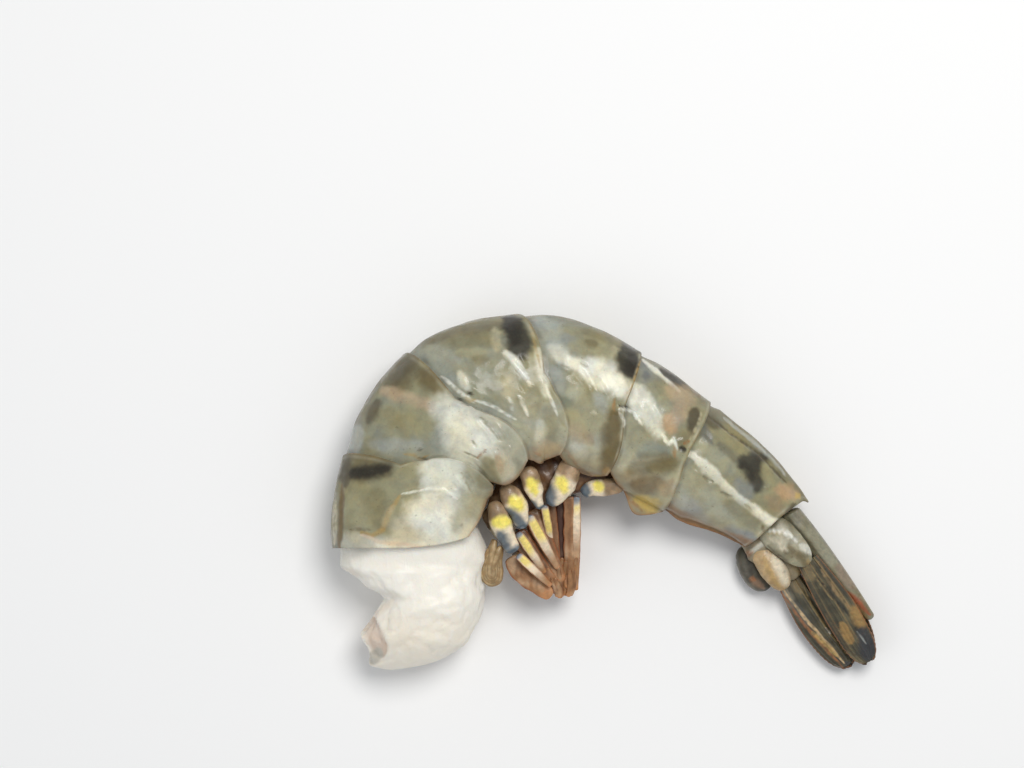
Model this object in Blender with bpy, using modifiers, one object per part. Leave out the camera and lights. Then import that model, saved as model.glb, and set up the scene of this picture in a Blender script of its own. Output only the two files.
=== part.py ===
"""A raw tiger prawn without its head, in its shell, lying on its right side.

The abdomen is a chain of links in the XY plane, from the torn front end to the tip
of the tail fan. Stations along it are counted in joints: 0 is the front rim of the
shell, 1 to 6 are the rear rims of the six shell plates, and 7 is the tip of the tail.
The back faces outwards round the curl, and the left flank faces up, along +Z.
Lengths here are in millimetres, and the meshes are in metres.
"""

import math

import bmesh
import bpy
from mathutils import Matrix, Vector

MM = 0.001
START = Vector((-32.75, -30.0))
LINK = (19.5, 14.5, 12.1, 13.5, 13.2, 12.8, 18.6, 27.6)
HEADING = (90, 83, 49, 18, -19, -32, -36, -60)
HALF_DEPTH = (6.0, 12.8, 13.0, 14.6, 12.8, 11.2, 9.8, 6.3, 3.0)
HALF_WIDTH = (4.0, 9.0, 9.3, 9.7, 9.1, 8.2, 7.2, 5.0, 2.4)
ROLL = (0, 0, 0, 0, 0, 2, 7, 10, 10)

PLATE_THICKNESS = 0.35
PLATE_STEP = 0.75
PLATE_TUCK = 1.6
PLATE_RISE = 3.0
PLATE_ROWS = 7
PLATE_COLUMNS = 24
BACK_SHARE = 0.57
BACK_POWER = 0.9
RIM_DROP = 0.93
REAR_SWEEP = (2.6, 2.3, 2.5, 1.3, 1.8, -0.6)
REAR_BULGE = (6.4, 6.4, 5.6, 3.2, 2.2, 0.6)
FLAT_SPOT = 0.25
KEEL = 0.9
KEEL_SPINE = 1.8

MEAT_SINK = 1.5
BELLY_SHARE = 0.74
MEAT_SIDES = 22
MEAT_END = 5.86
TORN_BACK = ((0, 12.3), (2.4, 11.4), (3.5, 8.9), (5.4, 7.0), (6.2, 3.6), (9.4, 6.2),
             (11.7, 8.4), (14.6, 7.0), (17.8, 6.7), (19.3, 5.6))
TORN_BELLY = ((-5.0, 9.6), (0, 12.6), (6.2, 11.9), (9.4, 11.5), (13.3, 9.7), (16.2, 6.5), (19.3, -1.2))
TORN_WIDTH = ((-5.0, 7.6), (0, 8.4), (8.0, 8.4), (13.0, 7.2), (17.0, 4.6), (19.3, 1.6))
TORN_ROUGHNESS = 0.3

# Places in the tail fan are ahead of the last shell joint, up towards the back, and height.
TELSON_LENGTH = 23.0
TELSON_START = -0.2
TELSON_SIDES = 10
TELSON_ROWS = 9
BLADE_THICKNESS = 0.6
POD_SIDES = 12
POD_ROWS = 8

# Each joint of the tail fan: its finish, where it starts and ends, half width and half height.
TAIL_PODS = {
    "uropod_base_left": ("shell", (0.0, -0.8, 7.2), (9.0, 1.4, 7.7), 2.1, 1.2),
    "uropod_knob_left": ("joint_knob", (3.2, -4.3, 6.0), (10.2, -3.9, 5.8), 2.3, 1.9),
    "uropod_base_right": ("shell", (0.9, -2.2, 2.6), (8.2, -1.4, 2.4), 1.9, 1.5),
    "uropod_knob_right": ("joint_knob", (2.4, -6.3, 2.6), (9.0, -6.1, 2.4), 2.2, 1.8),
}
# Each blade: where it starts and ends, half width, tilt in degrees, sideways bow and crown.
TAIL_BLADES = {
    "endopod_left": ((9.0, 1.8, 7.2), (27.4, 2.6, 5.3), 2.8, 4, -0.3, 0.35),
    "exopod_left": ((8.6, -2.3, 4.0), (28.4, -0.5, 3.4), 3.2, 6, -0.9, 0.35),
    "endopod_right": ((8.8, 2.2, 2.5), (27.8, 3.6, 2.2), 2.6, 6, -0.3, -0.3),
    "exopod_right": ((9.4, -2.6, 1.4), (28.4, 0.6, 1.2), 3.0, -4, -0.6, -0.3),
}

# Each swimmeret: the station it grows from, its knee, heel and tip in the XY plane, and its blade's half width.
SWIMMERETS = (
    (0.55, (-16.4, -9.2), (-15.5, -10.3), (-9.4, -16.0), 1.25),
    (1.50, (-14.2, -5.9), (-13.8, -7.1), (-9.6, -13.6), 0.95),
    (2.45, (-11.7, -2.7), (-12.3, -4.1), (-7.9, -12.4), 1.0),
    (3.45, (-8.7, -2.0), (-9.8, -2.7), (-8.7, -10.2), 0.9),
    (4.40, (-4.5, 0.0), (-4.9, -1.9), (-5.4, -16.3), 1.6),
)
SWIMMERET_SPREAD = 0.45
# Each row's side, the height of its first tip, and how far it is shifted.
SWIMMERET_ROWS = (("left", 1, 10.6, Vector((0, 0, 0))), ("right", -1, 5.4, Vector((2.2, -0.4, 0))))
TIP_STACK = 0.9
SWIMMERET_BASE = (1.7, 1.5)
SWIMMERET_BLADE_HEIGHT = 0.45
BELLY_GAP = 0.9

FILAMENT = ((-18.9, -9.2), (-19.4, -10.6), (-19.8, -12.3), (-19.7, -13.8), (-19.0, -14.7),
            (-18.2, -14.3), (-18.0, -13.0), (-18.1, -11.6))
FILAMENT_Z = 11.5
FILAMENT_RADIUS = 0.6

COLOURS = {
    "shell": ((0.30, 0.32, 0.25), 0.32),
    "meat": ((0.86, 0.80, 0.70), 0.42),
    "tail_plate": ((0.16, 0.15, 0.10), 0.35),
    "swimmeret_base": ((0.62, 0.56, 0.30), 0.38),
    "swimmeret_blade": ((0.42, 0.24, 0.15), 0.40),
    "joint_knob": ((0.68, 0.52, 0.34), 0.38),
    "filament": ((0.45, 0.34, 0.22), 0.45),
}


def clear_scene():
    for obj in list(bpy.data.objects):
        bpy.data.objects.remove(obj, do_unlink=True)


def finish_of(kind):
    """The material of one kind of piece, made once."""
    found = bpy.data.materials.get(kind)
    if found:
        return found
    colour, roughness = COLOURS[kind]
    material = bpy.data.materials.new(kind)
    material.use_nodes = True
    shader = material.node_tree.nodes["Principled BSDF"]
    shader.inputs["Base Color"].default_value = (*colour, 1)
    shader.inputs["Roughness"].default_value = roughness
    shader.inputs["Metallic"].default_value = 0
    return material


def add_piece(name, mesh_maker, kind, thickness=0.0):
    """An object from a bmesh whose points are in millimetres; a wall thickness grows inwards."""
    for vertex in mesh_maker.verts:
        vertex.co *= MM
    mesh = bpy.data.meshes.new(name)
    mesh_maker.to_mesh(mesh)
    mesh_maker.free()
    mesh.materials.append(finish_of(kind))
    mesh.shade_smooth()
    piece = bpy.data.objects.new(name, mesh)
    collection.objects.link(piece)
    if thickness:
        wall = piece.modifiers.new("wall", "SOLIDIFY")
        wall.thickness = thickness * MM
        wall.offset = -1
        wall.use_even_offset = True
    return piece


def catmull(values, t):
    """A smooth curve through values, the first of which stands at station -1."""
    place = min(max(t + 1, 0), len(values) - 1)
    left = min(int(place), len(values) - 2)
    share = place - left
    a = values[max(left - 1, 0)]
    b = values[left]
    c = values[left + 1]
    d = values[min(left + 2, len(values) - 1)]
    slope_b = (c - a) / 2
    slope_c = (d - b) / 2
    square = share * share
    cube = square * share
    return (b * (2 * cube - 3 * square + 1) + c * (3 * square - 2 * cube)
            + slope_b * (cube - 2 * square + share) + slope_c * (cube - square))


def read_off(table, x):
    """Straight lines between the (x, value) pairs of a short table."""
    for (x0, y0), (x1, y1) in zip(table, table[1:]):
        if x <= x1:
            return y0 + (y1 - y0) * max(0.0, (x - x0) / (x1 - x0))
    return table[-1][1]


def ease(x):
    x = min(max(x, 0.0), 1.0)
    return x * x * (3 - 2 * x)


def chain():
    """The joints of the links, from the torn end to the tip of the tail."""
    joints = [START]
    for length, heading in zip(LINK, HEADING):
        angle = math.radians(heading)
        joints.append(joints[-1] + length * Vector((math.cos(angle), math.sin(angle))))
    return joints


JOINTS = chain()


def spine_frame(t):
    """The spine's point at a station, and the direction of the back there."""
    step = 0.01
    ahead = (catmull(JOINTS, t + step) - catmull(JOINTS, t - step)).normalized()
    return catmull(JOINTS, t), Vector((-ahead.y, ahead.x))


def place(t, up, out, floor=0.0):
    """The world point at station t, up towards the back and out towards the left flank."""
    centre, back = spine_frame(t)
    roll = math.radians(catmull(ROLL, t))
    rest = catmull(HALF_WIDTH, t) - FLAT_SPOT + 0.4 * catmull(HALF_DEPTH, t) * math.sin(roll)
    flat = centre + back * (up * math.cos(roll) - out * math.sin(roll))
    height = rest + out * math.cos(roll) + up * math.sin(roll)
    return Vector((flat.x, flat.y, max(height, floor)))


def shell_point(t, w, sink, reach):
    """The shell's surface. w is -1 at the right lower rim, 0 along the back and 1 at the left rim."""
    half_depth = catmull(HALF_DEPTH, t) - sink
    half_width = catmull(HALF_WIDTH, t) - sink
    if abs(w) < BACK_SHARE:
        angle = abs(w) / BACK_SHARE * math.pi / 2
        keel = KEEL * ease(t - 4.6) * math.exp(-(angle / 0.3) ** 2)
        up = half_depth * math.cos(angle) ** BACK_POWER + keel
        out = half_width * math.sin(angle) ** BACK_POWER
    else:
        drop = RIM_DROP * reach * (abs(w) - BACK_SHARE) / (1 - BACK_SHARE)
        up = -half_depth * drop
        out = half_width * (1 - drop ** 4) ** 0.25
    return place(t, up, math.copysign(out, w), sink)


def rear_rim(plate, w):
    """Station of the rear rim of a plate: swept forwards on the back, bulging over the next plate."""
    across = abs(w)
    sweep = -REAR_SWEEP[plate - 1] * max(0.0, 1 - across / 0.5) ** 1.3
    bulge = REAR_BULGE[plate - 1] * math.sin(math.pi * min(max((across - 0.5) / 0.58, 0), 1))
    spine = KEEL_SPINE * math.exp(-(across / 0.06) ** 2) if plate == 6 else 0.0
    return plate + (sweep + bulge + spine) / LINK[min(plate + 1, len(LINK) - 1)]


def front_rim(plate, w):
    """Station of the front rim: free on the first plate, tucked under the one before on the others."""
    if plate == 1:
        return (0.6 + 1.6 * abs(w) + 4.0 * abs(w) ** 6) / LINK[1]
    return rear_rim(plate - 1, w) - PLATE_TUCK / LINK[plate]


def make_plate(plate):
    """One of the six shell plates, a curved sheet over the back and down both flanks."""
    sheet = bmesh.new()
    bmesh.ops.create_grid(sheet, x_segments=PLATE_COLUMNS, y_segments=PLATE_ROWS, size=1)
    for vertex in sheet.verts:
        w = vertex.co.x
        along = (vertex.co.y + 1) / 2
        front = front_rim(plate, w)
        t = front + (rear_rim(plate, w) - front) * along
        behind_rim = (t - front) * LINK[plate] - PLATE_TUCK - 0.3
        sink = 0.0 if plate == 1 else PLATE_STEP * (1 - ease(behind_rim / PLATE_RISE))
        corner = abs(2 * along - 1.1) / 1.1
        reach = 1 - (0.22 if plate < 6 else 0.08) * corner ** 2.5
        vertex.co = shell_point(t, w, sink, reach)
    return add_piece(f"shell_{plate}", sheet, "shell", PLATE_THICKNESS)


def torn_relief(distance, angle):
    """Ragged fibres on the bare meat, deeper towards the torn end."""
    depth = TORN_ROUGHNESS * ease(distance / 4)
    wave = math.sin(3 * angle + 1.1 * distance) + math.sin(5 * angle - 1.7 * distance + 1)
    return depth * (wave + 0.6 * math.sin(7 * angle + 2.9 * distance)) / 2


def meat_ring(t):
    """One section of the meat. Ahead of the shell it follows the torn outline."""
    distance = -t * LINK[0] if t < 0 else -t * LINK[1]
    bare = ease((distance + 0.3) / 3)
    back = catmull(HALF_DEPTH, t) - MEAT_SINK
    belly = BELLY_SHARE * catmull(HALF_DEPTH, t)
    width = catmull(HALF_WIDTH, t) - MEAT_SINK
    lift = 0.0
    if distance > -5.0:
        belly = read_off(TORN_BELLY, distance)
    if distance > 0:
        back += (read_off(TORN_BACK, distance) - back) * bare
        width += (read_off(TORN_WIDTH, distance) - width) * bare
        lift = 0.6 * (width - catmull(HALF_WIDTH, t)) + 0.4 * (8.6 - catmull(HALF_WIDTH, t))
        lift = bare * (lift + FLAT_SPOT)
    end = math.sqrt(max(1 - max(t - 5.3, 0) ** 2 / (MEAT_END + 0.06 - 5.3) ** 2, 0.02))
    middle = (back - belly) / 2
    half = (back + belly) / 2 * end
    ring = []
    for side in range(MEAT_SIDES):
        angle = 2 * math.pi * side / MEAT_SIDES
        relief = torn_relief(distance, angle) if distance > 0 else 0.0
        c = math.cos(angle)
        s = math.sin(angle)
        up = middle + (half + relief) * math.copysign(abs(c) ** BACK_POWER, c)
        out = (width * end + relief) * math.copysign(abs(s) ** BACK_POWER, s)
        point = place(t, up, out)
        point.z = max(point.z + lift, 0.1 if distance > 0.5 else MEAT_SINK)
        ring.append(point)
    return ring


def loft(rings):
    """A closed skin over rings of equal count, with a point at the middle of each end."""
    skin = bmesh.new()
    rows = [[skin.verts.new(point) for point in ring] for ring in rings]
    count = len(rows[0])
    for near, far in zip(rows, rows[1:]):
        for i in range(count):
            j = (i + 1) % count
            skin.faces.new((near[i], near[j], far[j], far[i]))
    for row, turned in ((rows[0], True), (rows[-1], False)):
        hub = skin.verts.new(sum((v.co for v in row), Vector()) / count)
        for i in range(count):
            j = (i + 1) % count
            corners = (row[j], row[i], hub) if turned else (row[i], row[j], hub)
            skin.faces.new(corners)
    bmesh.ops.recalc_face_normals(skin, faces=skin.faces)
    return skin


def make_meat():
    bare = [-19.3, -18.3, -16.6, -14.6, -13.0, -11.7, -10.4, -9.0, -7.6, -6.2, -5.4, -4.4, -3.4, -2.2, -1.0]
    stations = [distance / LINK[0] for distance in bare]
    stations += [step * 0.25 for step in range(23)]
    stations += [5.62, 5.74, 5.81, MEAT_END]
    add_piece("meat", loft([meat_ring(t) for t in stations]), "meat")


def tail_point(ahead, up, z):
    """A point in the tail fan's frame: ahead from the last shell joint, and up towards the back."""
    angle = math.radians(HEADING[-1])
    origin = JOINTS[7]
    x = origin.x + ahead * math.cos(angle) - up * math.sin(angle)
    y = origin.y + ahead * math.sin(angle) + up * math.cos(angle)
    return Vector((x, y, z))


def leaf_width(u):
    """Half width of a blade along its length, as a share of the widest: narrow, wide, then rounded."""
    rise = 0.62 + 0.38 * math.sin(math.pi / 2 * min(u / 0.6, 1))
    fall = max(1 - max((u - 0.6) / 0.4, 0) ** 2.4, 0)
    return rise * (0.12 + 0.88 * math.sqrt(fall))


def make_leaf(name, kind, start, end, half_width, tilt, bow, crown, thickness, rows, columns):
    """A thin blade from start to end, its broad side turned up, tilted about its own length."""
    ahead = (end - start).normalized()
    side = Vector((0, 0, 1)).cross(ahead).normalized()
    side = Matrix.Rotation(math.radians(tilt), 3, ahead) @ side
    normal = ahead.cross(side)
    sheet = bmesh.new()
    bmesh.ops.create_grid(sheet, x_segments=columns, y_segments=rows, size=1)
    for vertex in sheet.verts:
        v = vertex.co.x
        u = (vertex.co.y + 1) / 2
        middle = start.lerp(end, u) + side * bow * math.sin(math.pi * u)
        lift = crown * (math.exp(-(v / 0.3) ** 2) - v * v)
        vertex.co = middle + side * v * half_width * leaf_width(u) + normal * lift
    bmesh.ops.recalc_face_normals(sheet, faces=sheet.faces)
    if sum((face.normal for face in sheet.faces), Vector()).dot(normal) < 0:
        bmesh.ops.reverse_faces(sheet, faces=sheet.faces)
    return add_piece(name, sheet, kind, thickness)


def make_pod(name, kind, start, end, half_width, half_height, sides=POD_SIDES, rows=POD_ROWS):
    """An egg-shaped joint between two points, a little stouter where it starts."""
    axis = (end - start).normalized()
    side = Vector((0, 0, 1)).cross(axis).normalized()
    turn = Matrix((side, axis.cross(side), axis)).transposed()
    egg = bmesh.new()
    bmesh.ops.create_uvsphere(egg, u_segments=sides, v_segments=rows, radius=1)
    half = (end - start).length / 2
    for vertex in egg.verts:
        taper = 1 - 0.18 * vertex.co.z
        local = Vector((vertex.co.x * half_width * taper, vertex.co.y * half_height * taper,
                        vertex.co.z * half))
        vertex.co = (start + end) / 2 + turn @ local
    return add_piece(name, egg, kind)


def telson_ring(u):
    """One section of the telson: a narrow ridge with a flat underside, ending in a point."""
    half_deep = 1.9 * (1 - 0.75 * u ** 1.5)
    half_wide = 2.4 * (1 - 0.78 * u ** 1.4)
    up = 3.1 + 3.2 * u ** 0.85
    z = 5.4 - 1.4 * u
    ring = []
    for side in range(TELSON_SIDES):
        angle = 2 * math.pi * side / TELSON_SIDES
        ahead = TELSON_START + TELSON_LENGTH * u
        ring.append(tail_point(ahead, up + half_deep * math.cos(angle), z + half_wide * math.sin(angle)))
    return ring


def make_tail():
    """The telson, and on each side a two-part base with an inner and an outer blade."""
    rings = [telson_ring(step / TELSON_ROWS) for step in range(TELSON_ROWS + 1)]
    add_piece("telson", loft(rings), "tail_plate")
    for name, (kind, start, end, half_width, half_height) in TAIL_PODS.items():
        make_pod(name, kind, tail_point(*start), tail_point(*end), half_width, half_height)
    for name, (start, end, half_width, tilt, bow, crown) in TAIL_BLADES.items():
        make_leaf(name, "tail_plate", tail_point(*start), tail_point(*end), half_width, tilt, bow,
                  crown, BLADE_THICKNESS, rows=10, columns=6)


def belly_point(t, spread):
    """A point just off the belly of the meat, spread towards the left flank, or right if negative."""
    up = -BELLY_SHARE * catmull(HALF_DEPTH, t) - BELLY_GAP
    return place(t, up, spread * catmull(HALF_WIDTH, t))


def make_swimmerets():
    """Five pairs of swimmerets: a stout base and a long blade, gathered at their tips."""
    for number, (station, knee, heel, tip, half_width) in enumerate(SWIMMERETS, 1):
        for side, sign, first_tip, shift in SWIMMERET_ROWS:
            root = belly_point(station, sign * SWIMMERET_SPREAD)
            level = first_tip - TIP_STACK * (number - 1)
            elbow = Vector((*knee, root.z + 0.28 * (level - root.z)))
            start = Vector((*heel, elbow.z + 0.2 * (level - elbow.z)))
            end = Vector((*tip, level))
            make_pod(f"swimmeret_{number}_{side}_base", "swimmeret_base", root, elbow + shift,
                     *SWIMMERET_BASE, sides=10, rows=6)
            make_pod(f"swimmeret_{number}_{side}_blade", "swimmeret_blade", start + shift,
                     end + shift, half_width, SWIMMERET_BLADE_HEIGHT, sides=10, rows=8)


def make_filament():
    """A looped strand of soft tissue beside the first swimmeret."""
    curve = bpy.data.curves.new("filament", "CURVE")
    curve.dimensions = "3D"
    curve.bevel_depth = FILAMENT_RADIUS * MM
    curve.bevel_resolution = 2
    curve.use_fill_caps = True
    strand = curve.splines.new("POLY")
    strand.points.add(len(FILAMENT) - 1)
    for point, (x, y) in zip(strand.points, FILAMENT):
        point.co = (x * MM, y * MM, FILAMENT_Z * MM, 1)
    curve.materials.append(finish_of("filament"))
    collection.objects.link(bpy.data.objects.new("filament", curve))


clear_scene()
collection = bpy.data.collections.new("raw tiger prawn")
bpy.context.scene.collection.children.link(collection)
make_meat()
for number in range(1, 7):
    make_plate(number)
make_tail()
make_swimmerets()
make_filament()
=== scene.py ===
# %% [markdown]
# # A raw tiger prawn
# This lesson dresses the solid model of a headless prawn tail that lies on its side.
# The solids give every piece its place and size. We load them first.

# %% Load the frame
import math

import bmesh
import bpy
import numpy as np
from mathutils import Matrix, Vector, noise


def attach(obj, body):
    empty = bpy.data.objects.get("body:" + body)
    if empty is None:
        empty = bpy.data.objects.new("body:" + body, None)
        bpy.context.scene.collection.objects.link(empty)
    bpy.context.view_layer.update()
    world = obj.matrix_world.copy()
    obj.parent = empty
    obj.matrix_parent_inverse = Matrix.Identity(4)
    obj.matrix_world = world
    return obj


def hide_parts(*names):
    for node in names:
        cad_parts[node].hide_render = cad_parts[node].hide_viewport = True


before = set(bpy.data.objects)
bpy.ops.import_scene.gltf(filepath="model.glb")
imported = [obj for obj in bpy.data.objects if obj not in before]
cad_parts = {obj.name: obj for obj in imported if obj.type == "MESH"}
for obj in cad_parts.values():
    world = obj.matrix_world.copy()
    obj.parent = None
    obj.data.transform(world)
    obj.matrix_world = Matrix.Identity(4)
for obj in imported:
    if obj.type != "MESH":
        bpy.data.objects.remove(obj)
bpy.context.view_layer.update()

MM = 0.001

# %% [markdown]
# ## The curl
# A prawn's abdomen is a chain of stiff rings. We describe it as links, each with a length and
# a heading, and run a smooth curve through the joints. A station is a place along the chain,
# counted in joints: 0 is the front rim of the shell, 6 the rear rim of the last plate and
# 7 the tip of the tail. Lengths are in millimetres, and only the finished meshes are in metres.
# Every formula works on whole arrays of points at once, which is fast enough for fine meshes.

# %% The chain of joints
START = (-32.75, -30.0)
LINK = (19.5, 14.5, 12.1, 13.5, 13.2, 12.8, 18.6, 27.6)
HEADING = (90, 83, 49, 18, -19, -32, -36, -60)
HALF_DEPTH = (6.0, 12.8, 13.0, 14.6, 12.8, 11.2, 9.8, 6.3, 3.0)
HALF_WIDTH = (4.0, 9.0, 9.3, 9.7, 9.1, 8.2, 7.2, 5.0, 2.4)
ROLL = (0, 0, 0, 0, 0, 2, 7, 10, 10)
FLAT_SPOT = 0.25


def chain():
    joints = [np.array(START)]
    for length, heading in zip(LINK, HEADING):
        angle = math.radians(heading)
        joints.append(joints[-1] + length * np.array((math.cos(angle), math.sin(angle))))
    return np.array(joints)


def catmull(values, t):
    """A smooth curve through values, the first of which stands at station -1."""
    values = np.asarray(values, float)
    spot = np.clip(np.asarray(t, float) + 1, 0, len(values) - 1)
    left = np.minimum(spot.astype(int), len(values) - 2)
    share = spot - left
    if values.ndim == 2:
        share = share[..., None]
    b = values[left]
    c = values[left + 1]
    slope_b = (c - values[np.maximum(left - 1, 0)]) / 2
    slope_c = (values[np.minimum(left + 2, len(values) - 1)] - b) / 2
    square = share * share
    cube = square * share
    return (b * (2 * cube - 3 * square + 1) + c * (3 * square - 2 * cube)
            + slope_b * (cube - 2 * square + share) + slope_c * (cube - square))


JOINTS = chain()
print("curl length in mm:", sum(LINK[1:]))


# %% Places on the body
def ease(x):
    x = np.clip(x, 0, 1)
    return x * x * (3 - 2 * x)


def ramp(x, low, high):
    """0 below low, 1 above high, and a soft step between them."""
    return ease((np.asarray(x, float) - low) / (high - low))


def bell(x, width):
    return np.exp(-(x / width) ** 2)


def place(t, up, out, floor=0.0):
    """Points at stations t, up towards the back and out towards the left flank."""
    step = 0.01
    ahead = catmull(JOINTS, t + step) - catmull(JOINTS, t - step)
    ahead /= np.linalg.norm(ahead, axis=-1, keepdims=True)
    back = np.stack((-ahead[..., 1], ahead[..., 0]), -1)
    roll = np.radians(catmull(ROLL, t))
    rest = catmull(HALF_WIDTH, t) - FLAT_SPOT + 0.4 * catmull(HALF_DEPTH, t) * np.sin(roll)
    side = (up * np.cos(roll) - out * np.sin(roll))[..., None]
    flat = catmull(JOINTS, t) + back * side
    height = rest + out * np.cos(roll) + up * np.sin(roll)
    return np.concatenate((flat, np.maximum(height, floor)[..., None]), -1)


def clouds(points, size, seed=0.0):
    """Smooth noise from about -1 to 1, with blobs of the given size in millimetres."""
    moved = np.asarray(points) / size + np.array((seed, 3.1 * seed, 7.7 * seed))
    return np.array([noise.noise(p) for p in moved.tolist()])


# %% [markdown]
# ## The stage
# The photo looks straight down, with big soft light from above and a little from the back of
# the curl. The camera keeps the photo's framing: six picture points to a millimetre.

# %% Camera
PHOTO_WIDTH = 1024
PHOTO_HEIGHT = 768
PHOTO_SCALE = 6.0
PHOTO_ORIGIN = (605.0, 493.0)
SENSOR = 36.0
LENS = 110.0
MID_HEIGHT = 9.0
DISTANCE = PHOTO_WIDTH / PHOTO_SCALE * LENS / SENSOR


def spot(px, py):
    """The place in millimetres, at half height, under a point of the picture."""
    return (px - PHOTO_ORIGIN[0]) / PHOTO_SCALE, (PHOTO_ORIGIN[1] - py) / PHOTO_SCALE


CAMERA = spot(PHOTO_WIDTH / 2, PHOTO_HEIGHT / 2)


def in_picture(points):
    """Where points appear in the picture, seen from the camera."""
    scale = PHOTO_SCALE * DISTANCE / (DISTANCE + MID_HEIGHT - points[:, 2])
    px = PHOTO_WIDTH / 2 + (points[:, 0] - CAMERA[0]) * scale
    py = PHOTO_HEIGHT / 2 - (points[:, 1] - CAMERA[1]) * scale
    return px, py


def add_camera():
    data = bpy.data.cameras.new("camera")
    data.sensor_width = SENSOR
    data.lens = LENS
    data.clip_start = 0.01
    data.clip_end = 10.0
    camera = bpy.data.objects.new("camera", data)
    bpy.context.scene.collection.objects.link(camera)
    camera.location = Vector((*CAMERA, MID_HEIGHT + DISTANCE)) * MM
    bpy.context.scene.camera = camera
    print("camera height in mm:", round(MID_HEIGHT + DISTANCE))


add_camera()

# %% Light and floor
# Each light: where it stands, its size, its power and its colour.
LIGHTS = {
    "key": ((0.11, 0.20, 0.50), 0.26, 1.75, (1.0, 0.985, 0.96)),
    "fill": ((-0.42, -0.20, 0.40), 0.40, 0.40, (0.93, 0.96, 1.0)),
}
AIM = Vector((0.0, 0.0, 0.008))
FLOOR_SIZE = 4.0
FLOOR_DROP = 0.00005
FLOOR_COLOUR = (0.93, 0.93, 0.925, 1)
SKY_COLOUR = (0.95, 0.97, 1.0, 1)
SKY_STRENGTH = 0.45


def add_lights():
    for name, (where, size, power, colour) in LIGHTS.items():
        data = bpy.data.lights.new(name, "AREA")
        data.shape = "DISK"
        data.size = size
        data.energy = power
        data.color = colour
        lamp = bpy.data.objects.new(name, data)
        lamp.location = where
        lamp.rotation_euler = (AIM - lamp.location).to_track_quat("-Z", "Y").to_euler()
        bpy.context.scene.collection.objects.link(lamp)
    world = bpy.data.worlds.new("soft sky")
    world.use_nodes = True
    sky = world.node_tree.nodes["Background"]
    sky.inputs["Color"].default_value = SKY_COLOUR
    sky.inputs["Strength"].default_value = SKY_STRENGTH
    bpy.context.scene.world = world


def add_floor():
    board = bmesh.new()
    bmesh.ops.create_grid(board, x_segments=1, y_segments=1, size=FLOOR_SIZE / 2)
    bmesh.ops.translate(board, verts=board.verts, vec=(0, 0, -FLOOR_DROP))
    mesh = bpy.data.meshes.new("floor")
    board.to_mesh(mesh)
    board.free()
    floor = bpy.data.objects.new("floor", mesh)
    paint = bpy.data.materials.new("floor")
    paint.use_nodes = True
    shader = paint.node_tree.nodes["Principled BSDF"]
    shader.inputs["Base Color"].default_value = FLOOR_COLOUR
    shader.inputs["Roughness"].default_value = 0.7
    mesh.materials.append(paint)
    bpy.context.scene.collection.objects.link(floor)


add_lights()
add_floor()
bpy.context.scene.view_settings.view_transform = "Standard"
print("lights:", ", ".join(LIGHTS))

# %% [markdown]
# ## Shader maths as plain expressions
# A material is a graph of small nodes, and a long graph is hard to read. This class wraps one
# socket, so that `0.4 + mask * 0.1` adds the Math nodes by itself. One method makes every
# other node, from its type, its settings and the values or links of its sockets.


# %% A bench for materials
class Flow:
    """A value on its way through a material."""

    def __init__(self, bench, socket):
        self.bench = bench
        self.socket = socket

    def maths(self, operation, first, second):
        return self.bench.node("ShaderNodeMath", {"operation": operation}, {0: first, 1: second})

    def __add__(self, other):
        return self.maths("ADD", self, other)

    def __mul__(self, other):
        return self.maths("MULTIPLY", self, other)

    __radd__ = __add__

    def between(self, low, high):
        """0 at low, 1 at high, with a soft step."""
        settings = {"interpolation_type": "SMOOTHSTEP"}
        return self.bench.node("ShaderNodeMapRange", settings, {0: self, 1: low, 2: high})


class Bench:
    """One material under construction."""

    def __init__(self, name, **constants):
        self.material = bpy.data.materials.new(name)
        self.material.use_nodes = True
        self.tree = self.material.node_tree
        self.shader = self.tree.nodes["Principled BSDF"]
        for socket, value in constants.items():
            self.shader.inputs[socket.replace("_", " ")].default_value = value

    def node(self, kind, settings=None, sockets=None, output=0):
        made = self.tree.nodes.new(kind)
        for key, value in (settings or {}).items():
            setattr(made, key, value)
        for key, value in (sockets or {}).items():
            self.feed(made.inputs[key], value)
        return Flow(self, made.outputs[output])

    def feed(self, socket, value):
        if isinstance(value, Flow):
            self.tree.links.new(value.socket, socket)
        else:
            socket.default_value = value

    def blend(self, share, first, second, mode="MIX"):
        settings = {"data_type": "RGBA", "blend_type": mode}
        return self.node("ShaderNodeMix", settings, {0: share, 6: first, 7: second}, 2)

    def noise(self, size, detail=3.0, roughness=0.55, stretch=(1, 1, 1), twist=0.0):
        """Cloudy noise with blobs of the given size in millimetres."""
        here = self.node("ShaderNodeTexCoord", output=3)
        scale = [1 / (size * MM * s) for s in stretch]
        point = self.node("ShaderNodeMapping", {}, {0: here, 3: scale})
        sockets = {"Vector": point, "Scale": 1.0, "Detail": detail,
                   "Roughness": roughness, "Distortion": twist}
        return self.node("ShaderNodeTexNoise", {}, sockets)

    def bump(self, height, depth):
        """A fine relief, depth millimetres deep."""
        sockets = {"Height": height, "Distance": depth * MM, "Strength": 1.0}
        return self.node("ShaderNodeBump", {}, sockets)

    def paint(self):
        return self.node("ShaderNodeAttribute", {"attribute_name": "paint"})

    def finish(self, **flows):
        for socket, value in flows.items():
            self.feed(self.shader.inputs[socket.replace("_", " ")], value)
        print("material:", self.material.name, "-", len(self.tree.nodes), "nodes")
        return self.material


# %% [markdown]
# ## Finishes
# Raw shell is milky and wet. Colour that belongs to one place, such as a band, is painted on
# the mesh's points, and the material adds what is the same everywhere: fine mottling, specks,
# pores and a wet coat. Light sinks a little way into shell and flesh, so both have some
# subsurface scattering, which is the same all over and so is set on the shader's own socket.

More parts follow.
